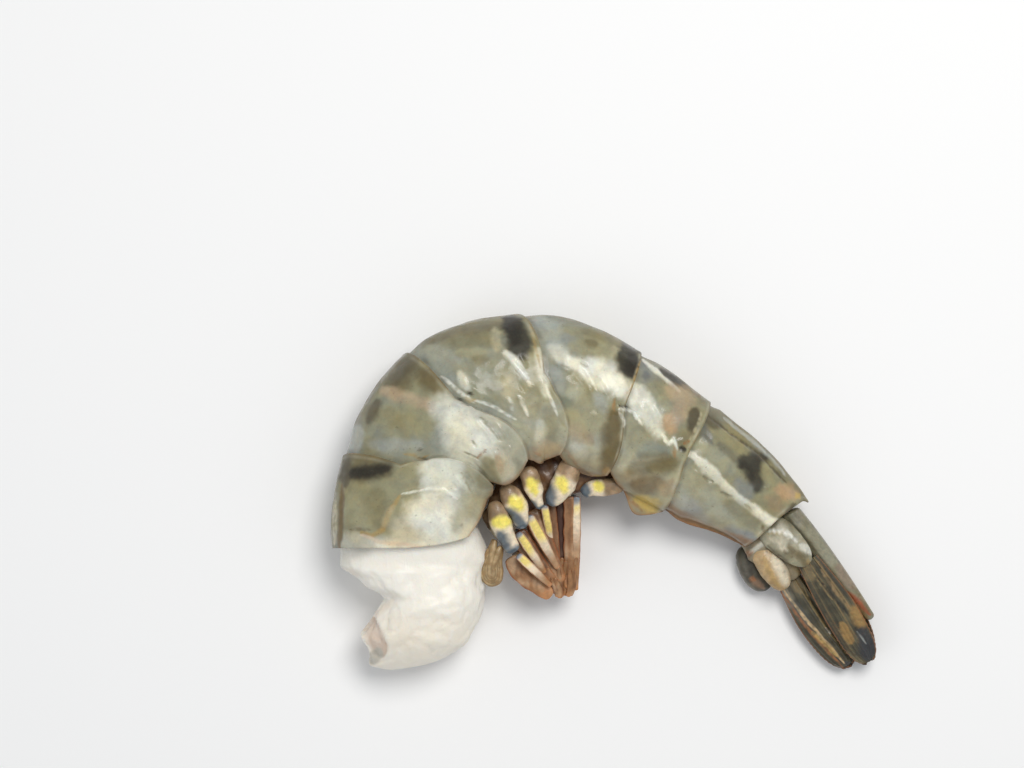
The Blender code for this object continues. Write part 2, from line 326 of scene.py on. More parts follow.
# %% Shell, flesh and limbs
WHITE = (1, 1, 1, 1)


def shell_finish():
    bench = Bench("shell", IOR=1.36, Subsurface_Weight=0.10, Subsurface_Scale=0.0008,
                  Coat_Roughness=0.14, Coat_IOR=1.4)
    mottle = bench.noise(2.2, detail=5, roughness=0.6, twist=0.3)
    hue = bench.noise(4.2, detail=3, roughness=0.5, twist=0.3)
    grain = bench.noise(0.4, detail=3)
    specks = bench.noise(0.6, detail=1).between(0.70, 0.78)
    tone = bench.blend(mottle.between(0.30, 0.70), (0.88, 0.88, 0.90, 1), (1.13, 1.12, 1.08, 1))
    cast = bench.blend(hue.between(0.35, 0.65), (0.99, 1.0, 0.96, 1), (1.05, 1.0, 0.84, 1))
    colour = bench.blend(1.0, bench.paint(), tone, "MULTIPLY")
    colour = bench.blend(1.0, colour, cast, "MULTIPLY")
    colour = bench.blend(grain.between(0.35, 0.8) * 0.10, colour, (0.14, 0.12, 0.07, 1))
    colour = bench.blend(specks * 0.30, colour, (0.09, 0.08, 0.05, 1))
    ripple = bench.noise(2.8, detail=2, roughness=0.4, twist=0.8)
    relief = bench.bump(ripple + grain * 0.05, 0.14)
    return bench.finish(Base_Color=colour, Normal=relief,
                        Roughness=0.36 + mottle.between(0.3, 0.7) * 0.14,
                        Coat_Weight=0.15 + ripple.between(0.40, 0.62) * 0.45)


def flesh_finish():
    bench = Bench("flesh", IOR=1.4, Subsurface_Weight=0.35, Subsurface_Scale=0.0018,
                  Subsurface_Radius=(1.0, 0.8, 0.6), Coat_Roughness=0.22, Coat_IOR=1.35)
    fibre = bench.noise(1.6, detail=5, roughness=0.6, stretch=(1, 2.4, 1), twist=0.8)
    cloud = bench.noise(4.5, detail=3)
    colour = bench.blend(cloud.between(0.35, 0.75) * 0.4, bench.paint(), (0.92, 0.88, 0.79, 1))
    colour = bench.blend(fibre.between(0.5, 0.8) * 0.25, colour, WHITE)
    relief = bench.bump(fibre + bench.noise(0.45, detail=2) * 0.25, 0.22)
    return bench.finish(Base_Color=colour, Normal=relief, Coat_Weight=0.25,
                        Roughness=0.40 + cloud * 0.15)


def limb_finish():
    bench = Bench("limb", IOR=1.45, Subsurface_Weight=0.10, Subsurface_Scale=0.0006,
                  Coat_Roughness=0.12, Coat_IOR=1.45)
    cloud = bench.noise(0.9, detail=4, roughness=0.6, twist=0.5)
    grain = bench.noise(0.25, detail=2)
    tone = bench.blend(cloud.between(0.3, 0.72), (0.86, 0.86, 0.84, 1), (1.20, 1.18, 1.12, 1))
    colour = bench.blend(1.0, bench.paint(), tone, "MULTIPLY")
    relief = bench.bump(cloud + grain * 0.2, 0.06)
    return bench.finish(Base_Color=colour, Normal=relief, Coat_Weight=0.22,
                        Roughness=0.36 + grain.between(0.3, 0.7) * 0.14)


SHELL = shell_finish()
FLESH = flesh_finish()
LIMB = limb_finish()

# %% [markdown]
# ## Painting
# A canvas holds the colours of a piece's points. A mark on it is a stroke through a few places
# of the photo, with a half width in picture points. One place gives a round spot, two a long
# oval, and more a streak. A little noise keeps every edge wavy, as pigment in a shell is.


# %% Canvas
def taper(where):
    """1 in the middle of a line and 0 at its ends."""
    return np.sqrt(np.abs(np.sin(math.pi * where)))


# A stroke with a smaller half width than this is partly broken up, as a fine crease is.
FINE_LINE = 2.3


class Canvas:
    """The colours of a piece's points."""

    def __init__(self, points, ground):
        self.points = points
        self.colour = np.tile(np.array(ground, float), (len(points), 1))
        self.px, self.py = in_picture(points)
        sizes = ((2.2, 1), (2.2, 2), (0.7, 3), (0.7, 4))
        self.drift = [clouds(points, size, seed) for size, seed in sizes]

    def trace(self, stops, wander=0.0):
        """Distance from a line through places of the picture, and how far along it, 0 to 1."""
        x = self.px + wander * (self.drift[0] + 0.5 * self.drift[2])
        y = self.py + wander * (self.drift[1] + 0.5 * self.drift[3])
        best = np.hypot(x - stops[0][0], y - stops[0][1])
        where = np.full(len(x), 0.5)
        lengths = [math.dist(a, b) for a, b in zip(stops, stops[1:])]
        done = 0.0
        for (ax, ay), (bx, by), length in zip(stops, stops[1:], lengths):
            dx = bx - ax
            dy = by - ay
            share = np.clip(((x - ax) * dx + (y - ay) * dy) / length ** 2, 0, 1)
            away = np.hypot(x - ax - dx * share, y - ay - dy * share)
            where = np.where(away <= best, (done + share * length) / sum(lengths), where)
            best = np.minimum(best, away)
            done += length
        return best, where

    def distance(self, stops, wander=0.0):
        return self.trace(stops, wander)[0]

    def blend(self, tint, share):
        share = np.broadcast_to(share, self.px.shape)
        self.colour += (np.array(tint) - self.colour) * share[:, None]

    def stroke(self, stops, width, tint, strength=1.0, soft=0.62):
        away, where = self.trace(stops, 0.6 + 0.24 * width)
        narrow = (0.6 if width < 4 else 0.3) * (1 - taper(where))
        if width < FINE_LINE:
            strength = strength * (0.35 + 0.65 * ramp(self.drift[2], -0.45, 0.25))
        self.blend(tint, strength * (1 - ramp(away / (width * (1 - narrow)), 1 - soft, 1 + soft)))

    def strokes(self, marks):
        for mark in marks.values():
            self.stroke(*mark)


def ridge(canvas, lines):
    """Relief of fine ridges, or grooves where the height is negative, along lines of the picture."""
    total = np.zeros(len(canvas.px))
    for stops, width, height in lines.values():
        away, where = canvas.trace(stops, 0.6)
        total += height * taper(where) * bell(away, width)
    return total


# %% [markdown]
# ## Making a piece
# Each piece starts from one of bmesh's own shapes, and its points are then moved to their
# place by a formula, which gets all of them at once and returns points and colours.


# %% From a grid or a ball to a finished piece
def add_piece(name, maker, finish, nodes=(), wall=0.0):
    """A finished piece from a bmesh in millimetres; it stands for the CAD nodes that it names."""
    bmesh.ops.scale(maker, verts=maker.verts, vec=(MM, MM, MM))
    mesh = bpy.data.meshes.new(name)
    maker.to_mesh(mesh)
    maker.free()
    mesh.materials.append(finish)
    mesh.shade_smooth()
    piece = bpy.data.objects.new(name, mesh)
    bpy.context.scene.collection.objects.link(piece)
    if wall:
        skin = piece.modifiers.new("wall", "SOLIDIFY")
        skin.thickness = wall * MM
        skin.offset = -1
    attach(piece, "root")
    if nodes:
        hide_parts(*nodes)
    return piece


def dress(maker, points, colours):
    """Moves every point of a bmesh to its place and gives it its colour."""
    layer = maker.verts.layers.float_color.new("paint")
    for vertex, point, colour in zip(maker.verts, points.tolist(), colours.tolist()):
        vertex.co = point
        vertex[layer] = (*colour, 1)
    return maker


def shaped_grid(columns, rows, formula, facing=None):
    """A sheet from formula(across, along): across runs from -1 to 1, along from 0 to 1."""
    sheet = bmesh.new()
    bmesh.ops.create_grid(sheet, x_segments=columns, y_segments=rows, size=1)
    seed = np.array([vertex.co[:] for vertex in sheet.verts])
    dress(sheet, *formula(seed[:, 0], (seed[:, 1] + 1) / 2))
    if facing is not None:
        bmesh.ops.recalc_face_normals(sheet, faces=sheet.faces)
        if sum((face.normal for face in sheet.faces), Vector()).dot(facing) < 0:
            bmesh.ops.reverse_faces(sheet, faces=sheet.faces)
    return sheet


def shaped_ball(around, rows, formula):
    """A closed skin from formula(angle, along): along runs from 0 to 1, pole to pole."""
    ball = bmesh.new()
    bmesh.ops.create_uvsphere(ball, u_segments=around, v_segments=rows, radius=1)
    seed = np.array([vertex.co[:] for vertex in ball.verts])
    along = np.arccos(np.clip(seed[:, 2], -1, 1)) / math.pi
    dress(ball, *formula(np.arctan2(seed[:, 1], seed[:, 0]), along))
    bmesh.ops.recalc_face_normals(ball, faces=ball.faces)
    return ball


# %% [markdown]
# ## The flesh
# One muscle fills the shell from end to end. In front it is bare, and torn where the head came
# off, with a deep notch and a pinkish torn face. A ball with one pole at the torn end and the
# other in the tail makes a closed skin without a seam.

# %% Flesh
MEAT_SINK = 1.5
BELLY_SHARE = 0.74
MEAT_END = 5.86
TORN_LENGTH = 19.3
TORN_BACK = ((0, 12.3), (2.4, 11.4), (3.5, 8.9), (5.4, 7.0), (6.2, 3.6), (9.4, 6.2),
             (11.7, 8.4), (14.6, 7.0), (17.8, 6.7), (19.3, 5.6))
TORN_BELLY = ((-5.0, 11.2), (0, 14.0), (6.2, 13.1), (9.4, 12.4), (13.3, 10.2), (16.2, 6.6), (19.3, -1.2))
TORN_WIDTH = ((-5.0, 7.6), (0, 8.4), (8.0, 8.4), (13.0, 7.2), (17.0, 4.6), (19.3, 1.6))
FLESH_AROUND = 120
FLESH_ROWS = 420
FLESH_WHITE = (0.93, 0.89, 0.80)
FLESH_CREAM = (0.95, 0.87, 0.74)
FLESH_PINK = (0.70, 0.55, 0.43)
FLESH_GREY = (0.53, 0.50, 0.42)
FLESH_CLEAR = (0.66, 0.64, 0.56)
LEG_BROWN = (0.35, 0.18, 0.080)
TORN_FACE = (((366, 622), (372, 634), (378, 648)), 9)
TORN_CORNER = (((375, 652), (372, 658)), 6)
FLESH_MARKS = {
    "clear corner": (((338, 545), (342, 562)), 12, FLESH_CLEAR, 0.8),
    "clear edge": (((352, 545), (366, 549)), 10, (0.60, 0.58, 0.50), 0.7),
    "skin of the back": (((338, 550), (337, 566)), 2.0, (0.42, 0.30, 0.12), 0.7),
    "shoulder": (((345, 571), (358, 575)), 4, (0.80, 0.72, 0.60), 0.6),
    "side of the notch": (((392, 600), (382, 608), (374, 617)), 3.0, (0.78, 0.66, 0.52), 0.6),
    "hollow beside the torn face": (((386, 625), (410, 640)), 14, (0.84, 0.78, 0.66), 0.5),
    "belly side": (((470, 560), (480, 580)), 9, (0.78, 0.75, 0.66), 0.5),
}
FLESH_RIDGES = {
    "edge of the torn face": (((374, 616), (377, 628), (385, 650)), 1.6, 0.35),
    "fold below the shell": (((398, 592), (420, 575), (438, 572)), 4.0, -0.35),
    "long swell": (((404, 612), (432, 606), (452, 616)), 4.5, 0.30),
    "low fold": (((388, 650), (412, 640), (440, 650)), 4.0, -0.30),
    "shoulder fold": (((352, 566), (372, 560), (392, 566)), 3.5, -0.30),
    "belly fold": (((440, 590), (458, 575), (470, 580)), 4.0, -0.25),
}


def read_off(table, x):
    """The table's value at x, with its corners a little rounded."""
    xs, ys = zip(*table)
    return sum(np.interp(x + shift, xs, ys) for shift in (-0.6, -0.3, 0, 0.3, 0.6)) / 5


def squarer(x):
    """A cosine or sine made a little squarer."""
    return np.sign(x) * np.abs(x) ** 0.9


def flesh_form(angle, along):
    """The torn muscle: station, heights and lift of every point before its fine relief."""
    front = -TORN_LENGTH / LINK[0]
    t = front + (MEAT_END - front) * along
    pole = np.minimum(along, 1 - along) * (TORN_LENGTH + sum(LINK[1:7]))
    close = np.sqrt(1 - (1 - np.minimum(pole / 1.5, 1)) ** 2)
    distance = np.where(t < 0, -t * LINK[0], -t * LINK[1])
    bare = ease((distance + 0.3) / 3) * (distance > 0)
    back = catmull(HALF_DEPTH, t) - MEAT_SINK
    belly = np.where(distance > -5, read_off(TORN_BELLY, distance), BELLY_SHARE * catmull(HALF_DEPTH, t))
    width = catmull(HALF_WIDTH, t) - MEAT_SINK
    back += (read_off(TORN_BACK, distance) - back) * bare
    width += (read_off(TORN_WIDTH, distance) - width) * bare
    lift = 0.6 * (width - catmull(HALF_WIDTH, t)) + 0.4 * (8.6 - catmull(HALF_WIDTH, t)) + FLAT_SPOT
    up = (back - belly) / 2 + (back + belly) / 2 * close * squarer(np.cos(angle))
    out = width * close * squarer(np.sin(angle))
    return t, up, out, lift * bare, distance


def flesh_formula(angle, along):
    t, up, out, lift, distance = flesh_form(angle, along)
    smooth = place(t, up, out)
    canvas = Canvas(smooth, FLESH_WHITE)
    bare = ramp(distance, 0.3, 3)
    lumps = 0.75 * clouds(smooth * (1, 0.6, 1), 3.2, 5) + 0.35 * clouds(smooth, 1.2, 6)
    creases = -0.5 * bell(clouds(smooth * (1, 0.7, 1), 4.0, 7), 0.06)
    relief = bare * (0.55 * lumps + 0.5 * creases + ridge(canvas, FLESH_RIDGES) - 0.25)
    stops, wide = TORN_FACE
    torn = 1 - ramp(canvas.distance(stops, 1.0) / wide, 0.75, 1.15)
    relief -= 0.7 * torn * (out > 0)
    point = place(t, up + relief * np.cos(angle), out + relief * np.sin(angle))
    point[:, 2] = np.maximum(point[:, 2] + lift, np.where(distance > 0.5, 0.1, MEAT_SINK))
    canvas.blend(FLESH_CREAM, ramp(distance, 5, 12))
    canvas.blend(LEG_BROWN, 0.8 * ramp(-up / catmull(HALF_DEPTH, t), 0.62, 0.72) * ramp(-distance, 7, 12))
    canvas.strokes(FLESH_MARKS)
    canvas.blend(FLESH_PINK, 0.95 * torn)
    stops, wide = TORN_CORNER
    canvas.blend(FLESH_GREY, 0.9 * (1 - ramp(canvas.distance(stops, 1.0) / wide, 0.7, 1.3)))
    return point, canvas.colour


add_piece("flesh", shaped_ball(FLESH_AROUND, FLESH_ROWS, flesh_formula), FLESH, ["meat"])
print("flesh from station", round(-TORN_LENGTH / LINK[0], 2), "to", MEAT_END)

# %% [markdown]
# ## The shell plates
# Six plates hoop the body. The rear rim of each slides over the front of the next. On the back
# the rims sweep forwards, and on the flanks they bulge backwards in round lobes. A plate is a
# curved sheet that a Solidify modifier turns into a thin wall.

# %% The form of a plate
PLATE_WALL = 0.2
PLATE_STEP = 0.45
PLATE_TUCK = 1.6
PLATE_RISE = 3.0
BACK_SHARE = 0.57
BACK_POWER = 0.9
RIM_DROP = 0.93
REAR_SWEEP = (1.5, 2.3, 2.5, 1.3, 1.8, -0.6)
REAR_BULGE = (7.2, 7.9, 6.9, 3.4, 2.2, 0.6)
# How far each plate's lower rim reaches, and how much shorter it is at its two corners.
# The middle of the lobe is given as a share of the plate's length.
LOBE_REACH = (1.06, 1.0, 1.03, 1.08, 1.02, 1.14)
CORNER_CUT = 0.22
LAST_CORNER_CUT = 0.08
CORNER_POWER = 2.5
LOBE_MIDDLE = 0.55
# The fifth plate has one more lobe, near its rear end.
LAST_LOBE = 0.36
LAST_LOBE_AT = 0.82
LAST_LOBE_LENGTH = 0.22
KEEL = 0.9
KEEL_SPINE = 0.7
SKIN_SINK = 0.12


def shell_point(t, w, sink, reach):
    """The shell's surface. w is -1 at the right lower rim, 0 along the back and 1 at the left rim."""
    half_depth = catmull(HALF_DEPTH, t) - sink
    half_width = catmull(HALF_WIDTH, t) - sink
    across = np.abs(w)
    angle = np.minimum(across / BACK_SHARE, 1) * math.pi / 2
    keel = KEEL * ease(t - 4.6) * bell(angle, 0.3)
    drop = RIM_DROP * reach * np.maximum(across - BACK_SHARE, 0) / (1 - BACK_SHARE)
    on_back = across < BACK_SHARE
    up = np.where(on_back, half_depth * np.abs(np.cos(angle)) ** BACK_POWER + keel, -half_depth * drop)
    flank = (1 - np.minimum(drop, 0.98) ** 4) ** 0.25
    out = half_width * np.where(on_back, np.sin(angle) ** BACK_POWER, flank)
    return place(t, up, np.sign(w) * out, np.clip(sink, 0, PLATE_STEP))


def rear_rim(plate, w):
    """Station of the rear rim of a plate."""
    across = np.abs(w)
    sweep = -REAR_SWEEP[plate - 1] * np.maximum(0.0, 1 - across / 0.5) ** 1.3
    bulge = REAR_BULGE[plate - 1] * np.sin(math.pi * np.clip((across - 0.5) / 0.86, 0, 1))
    spine = KEEL_SPINE * bell(across, 0.06) if plate == 6 else 0.0
    return plate + (sweep + bulge + spine) / LINK[min(plate + 1, len(LINK) - 1)]


def front_rim(plate, w):
    """Station of the front rim: free on the first plate, tucked in on the others."""
    if plate == 1:
        return (0.6 + 1.6 * np.abs(w) + 1.4 * np.abs(w) ** 6) / LINK[1]
    return rear_rim(plate - 1, w) - PLATE_TUCK / LINK[plate]


# %% [markdown]
# The plates aren't smooth. There are hinges with dark pits, sharp creases that run out from
# them, and a long folded ridge on the flank. All of it is relief of a few tenths of a
# millimetre, listed here as lines through the photo: places, half width in picture points,
# and height in millimetres.

# %% Relief of the plates
RIDGES = {
    1: {
        "long fold": (((360, 532), (371, 536), (382, 529), (390, 508), (400, 496), (409, 492), (428, 489),
                       (444, 490), (458, 500)), 1.8, 0.16),
        "hollow by the fold": (((388, 512), (396, 500)), 5.0, -0.12),
        "crease under the hinge": (((413, 453), (421, 459), (432, 458)), 1.8, -0.22),
        "lip beside the hinge": (((432, 451), (455, 450)), 1.6, 0.15),
        "flank crease": (((462, 473), (468, 480), (472, 492)), 1.6, -0.22),
        "flank crest": (((455, 476), (462, 486), (466, 496)), 1.4, 0.16),
        "second flank crest": (((468, 470), (476, 482), (480, 494)), 1.4, 0.16),
        "short crease": (((452, 482), (458, 490)), 1.4, -0.16),
        "crease in front": (((349, 529), (369, 530)), 1.6, -0.12),
        "edge of the back": (((341, 480), (340, 545)), 2.0, -0.14),
    },
    2: {
        "lobe crease": (((481, 417), (492, 428), (502, 442)), 1.8, -0.26),
        "lobe crest": (((486, 413), (498, 424), (508, 440)), 1.5, 0.20),
        "second lobe crest": (((474, 420), (484, 430), (494, 446)), 1.5, 0.16),
        "nick": (((473, 441), (477, 448)), 1.3, -0.22),
        "split": (((486, 450), (478, 459), (463, 452)), 1.2, -0.20),
        "crest under the split": (((470, 452), (476, 460), (488, 476)), 1.8, 0.16),
        "rear crease": (((503, 448), (508, 462), (506, 476)), 1.6, -0.24),
        "rear crest": (((510, 446), (516, 462), (514, 476)), 1.5, 0.20),
        "inner crest": (((496, 452), (500, 466)), 1.4, 0.18),
        "hollow": (((492, 462), (497, 470)), 3.0, -0.18),
        "crease at the hinge": (((457, 398), (468, 406)), 1.5, -0.26),
        "crest at the hinge": (((452, 400), (462, 408)), 1.5, 0.12),
        "back hollow": (((364, 422), (372, 412)), 4.0, -0.10),
        "side hollow": (((400, 412), (420, 425)), 4.0, -0.08),
    },
    3: {
        "front crest": (((457, 371), (464, 380), (468, 389)), 1.8, 0.20),
        "front hollow": (((450, 372), (458, 384)), 2.5, -0.14),
        "crest under the band": (((511, 360), (519, 368), (527, 379)), 1.8, 0.22),
        "crease under the band": (((520, 354), (527, 366)), 1.8, -0.16),
        "hook": (((527, 381), (530, 387), (533, 384)), 1.4, 0.22),
        "sharp crest": (((519, 397), (524, 406), (528, 415)), 1.6, 0.22),
        "short crest": (((508, 398), (512, 408)), 1.8, 0.14),
        "rear swell": (((534, 350), (541, 372), (547, 396)), 3.0, 0.10),
        "dent": (((524, 392), (519, 382)), 2.0, -0.18),
        "rear hollow": (((541, 400), (536, 440)), 3.5, -0.12),
        "low swell": (((516, 425), (522, 450)), 3.0, 0.10),
        "lobe crest": (((534, 455), (545, 458)), 2.0, 0.16),
        "lobe crease": (((530, 462), (548, 464)), 1.6, -0.14),
    },
    4: {
        "sharp crest": (((580, 365), (586, 369), (592, 380), (597, 391)), 1.6, 0.24),
        "crease above it": (((581, 362), (588, 365)), 1.4, -0.24),
        "long crease": (((597, 376), (604, 388), (609, 398)), 1.8, -0.16),
        "short crest": (((589, 387), (594, 398)), 1.8, 0.14),
        "front swell": (((550, 352), (560, 366), (572, 371)), 2.2, 0.12),
        "round hollow": (((560, 378), (574, 374), (584, 384), (588, 400)), 3.5, -0.12),
        "middle swell": (((578, 388), (576, 402)), 2.6, 0.14),
        "bead": (((592, 413), (596, 414)), 2.0, 0.14),
        "crest from the hinge": (((614, 402), (611, 412), (600, 430)), 1.6, 0.16),
        "hollow from the hinge": (((604, 420), (600, 450)), 3.0, -0.12),
        "lobe swell": (((571, 446), (583, 456)), 4.0, 0.10),
        "lobe edge": (((567, 455), (580, 468), (596, 478)), 2.0, 0.12),
    },
    5: {
        "crest of the painted highlight patch": (((626, 406), (634, 412), (641, 424), (650, 438)), 1.8, 0.24),
        "hinge crest": (((620, 412), (625, 424)), 1.5, 0.20),
        "rear crest": (((655, 404), (662, 420), (664, 434)), 1.6, 0.18),
        "curl at the hinge": (((662, 436), (668, 444), (673, 442), (676, 438)), 1.5, 0.26),
        "hollow": (((645, 402), (652, 420), (655, 434)), 2.2, -0.14),
        "fan ridge": (((616, 466), (640, 463), (668, 457)), 2.4, 0.16),
        "ridge of the back": (((642, 360), (660, 373), (678, 389)), 1.8, 0.20),
        "fold under the hinge": (((670, 449), (673, 458)), 1.6, 0.18),
        "swell": (((650, 395), (656, 399)), 3.0, 0.10),
        "fan hollow": (((632, 440), (650, 450)), 4.0, -0.10),
    },
    6: {
        "flank ridge": (((682, 452), (690, 454), (700, 462), (718, 479), (735, 496), (756, 514),
                         (782, 526)), 4.2, 0.30),
        "first notch": (((703, 476), (709, 481), (714, 481)), 1.8, -0.32),
        "second notch": (((721, 492), (728, 497), (732, 496)), 1.8, -0.30),
        "third notch": (((744, 503), (752, 509)), 1.8, -0.22),
        "small notch": (((694, 466), (700, 472)), 1.8, -0.20),
        "keel": (((722, 418), (750, 441), (770, 456), (788, 478)), 2.4, 0.16),
        "groove of the keel": (((706, 412), (732, 432), (760, 452), (786, 480)), 2.0, -0.22),
        "hook": (((764, 487), (770, 488), (772, 482)), 1.4, 0.18),
        "front fold": (((676, 462), (679, 472)), 1.8, 0.18),
        "back hollow": (((700, 424), (712, 440), (738, 461)), 2.4, -0.10),
        "lower edge": (((668, 514), (704, 534), (738, 545)), 2.2, 0.14),
    },
}
WAVE = 0.11
FINE_WAVE = 0.04
CRINKLE = 0.03
HINGE_RING = 0.16
HINGE_PIT = 0.30
RIM_LIP = 0.05
RELIEF_RANGE = (-0.4, 0.16)
RELIEF_SINK = 0.1
HINGES = {1: (419, 451), 2: (468, 396), 3: (470, 394), 4: (618, 404), 5: (681, 448), 6: (681, 449)}


def plate_relief(plate, canvas, across, from_rear, from_front):
    """Height in millimetres over the smooth plate."""
    points = canvas.points
    flank = bell(across - 0.55, 0.35)
    waves = WAVE * clouds(points * (1, 1, 0.5), 4.5, 8) + FINE_WAVE * clouds(points, 1.9, 9)
    crinkle = CRINKLE * flank * (1 - 2.4 * np.abs(clouds(points * (1, 1, 0.6), 2.2, 10)))
    upper = points[:, 2] > MID_HEIGHT * 0.6
    total = waves + crinkle + np.where(upper, ridge(canvas, RIDGES[plate]), 0)
    hinge = canvas.distance((HINGES[plate],))
    total += np.where(upper, HINGE_RING * bell(hinge - 7, 2.2) - HINGE_PIT * bell(hinge, 2.6), 0)
    total *= ramp(from_rear, 0.2, 1.8) * ramp(from_front, 0.0, 1.2)
    lip = RIM_LIP * bell(from_rear - 0.2, 0.22)
    return np.clip(total, *RELIEF_RANGE) - RELIEF_SINK + lip


# %% [markdown]
# A plate's colours are in layers. First comes a grey-olive ground that turns bluish in front and
# milky on the flank, where the flesh shines through, and darker along the back, partly from
# pigment and partly as painted shade. Then come the dark bands and the other marks, each a stroke
# through its own places in the photo, with a half width, a colour, a strength and sometimes a
# softness of its edge. Many pale and white marks on crests, ridges, rims and the wet flank are
# painted highlights, and dark strokes in creases, notches, slits and pits are painted shade.

# %% Colours of the plates
OLIVE = (0.275, 0.262, 0.165)
BLUE_GREY = (0.265, 0.290, 0.275)
MILK = (0.43, 0.425, 0.345)
BACK_DARK = (0.150, 0.130, 0.075)
INK = (0.020, 0.017, 0.011)
SOOT = (0.036, 0.033, 0.024)
UMBER = (0.085, 0.070, 0.040)
BROWN = (0.135, 0.105, 0.048)
CHESTNUT = (0.17, 0.12, 0.06)
MOSS = (0.20, 0.18, 0.10)
STRAW = (0.33, 0.31, 0.20)
SAND = (0.43, 0.395, 0.275)
FAWN = (0.56, 0.52, 0.41)
ROSE = (0.42, 0.325, 0.225)
SALMON = (0.46, 0.32, 0.20)
GOLD = (0.36, 0.26, 0.11)
RUST = (0.29, 0.12, 0.045)
LEMON = (0.66, 0.50, 0.14)
STEEL = (0.225, 0.240, 0.240)
SMOKE = (0.33, 0.345, 0.32)
ASH = (0.40, 0.42, 0.42)
LOBE_BROWN = (0.23, 0.17, 0.10)
AMBER = (0.34, 0.19, 0.075)
# Light tints: a pale one, mostly for painted highlights; a clear one, for clear shell over the flesh and
# for painted highlights; and two whites for painted highlights.
PALE = (0.63, 0.63, 0.56)
CLEAR_SHELL_AND_HIGHLIGHT = (0.82, 0.79, 0.70)
HIGHLIGHT_WHITE = (0.76, 0.755, 0.69)
GLINT = (0.83, 0.83, 0.78)
CRISP = 0.42
# Milky flank with a painted highlight on it.
MILKY_FLANK_AND_HIGHLIGHT = (0.70, 0.71, 0.66)
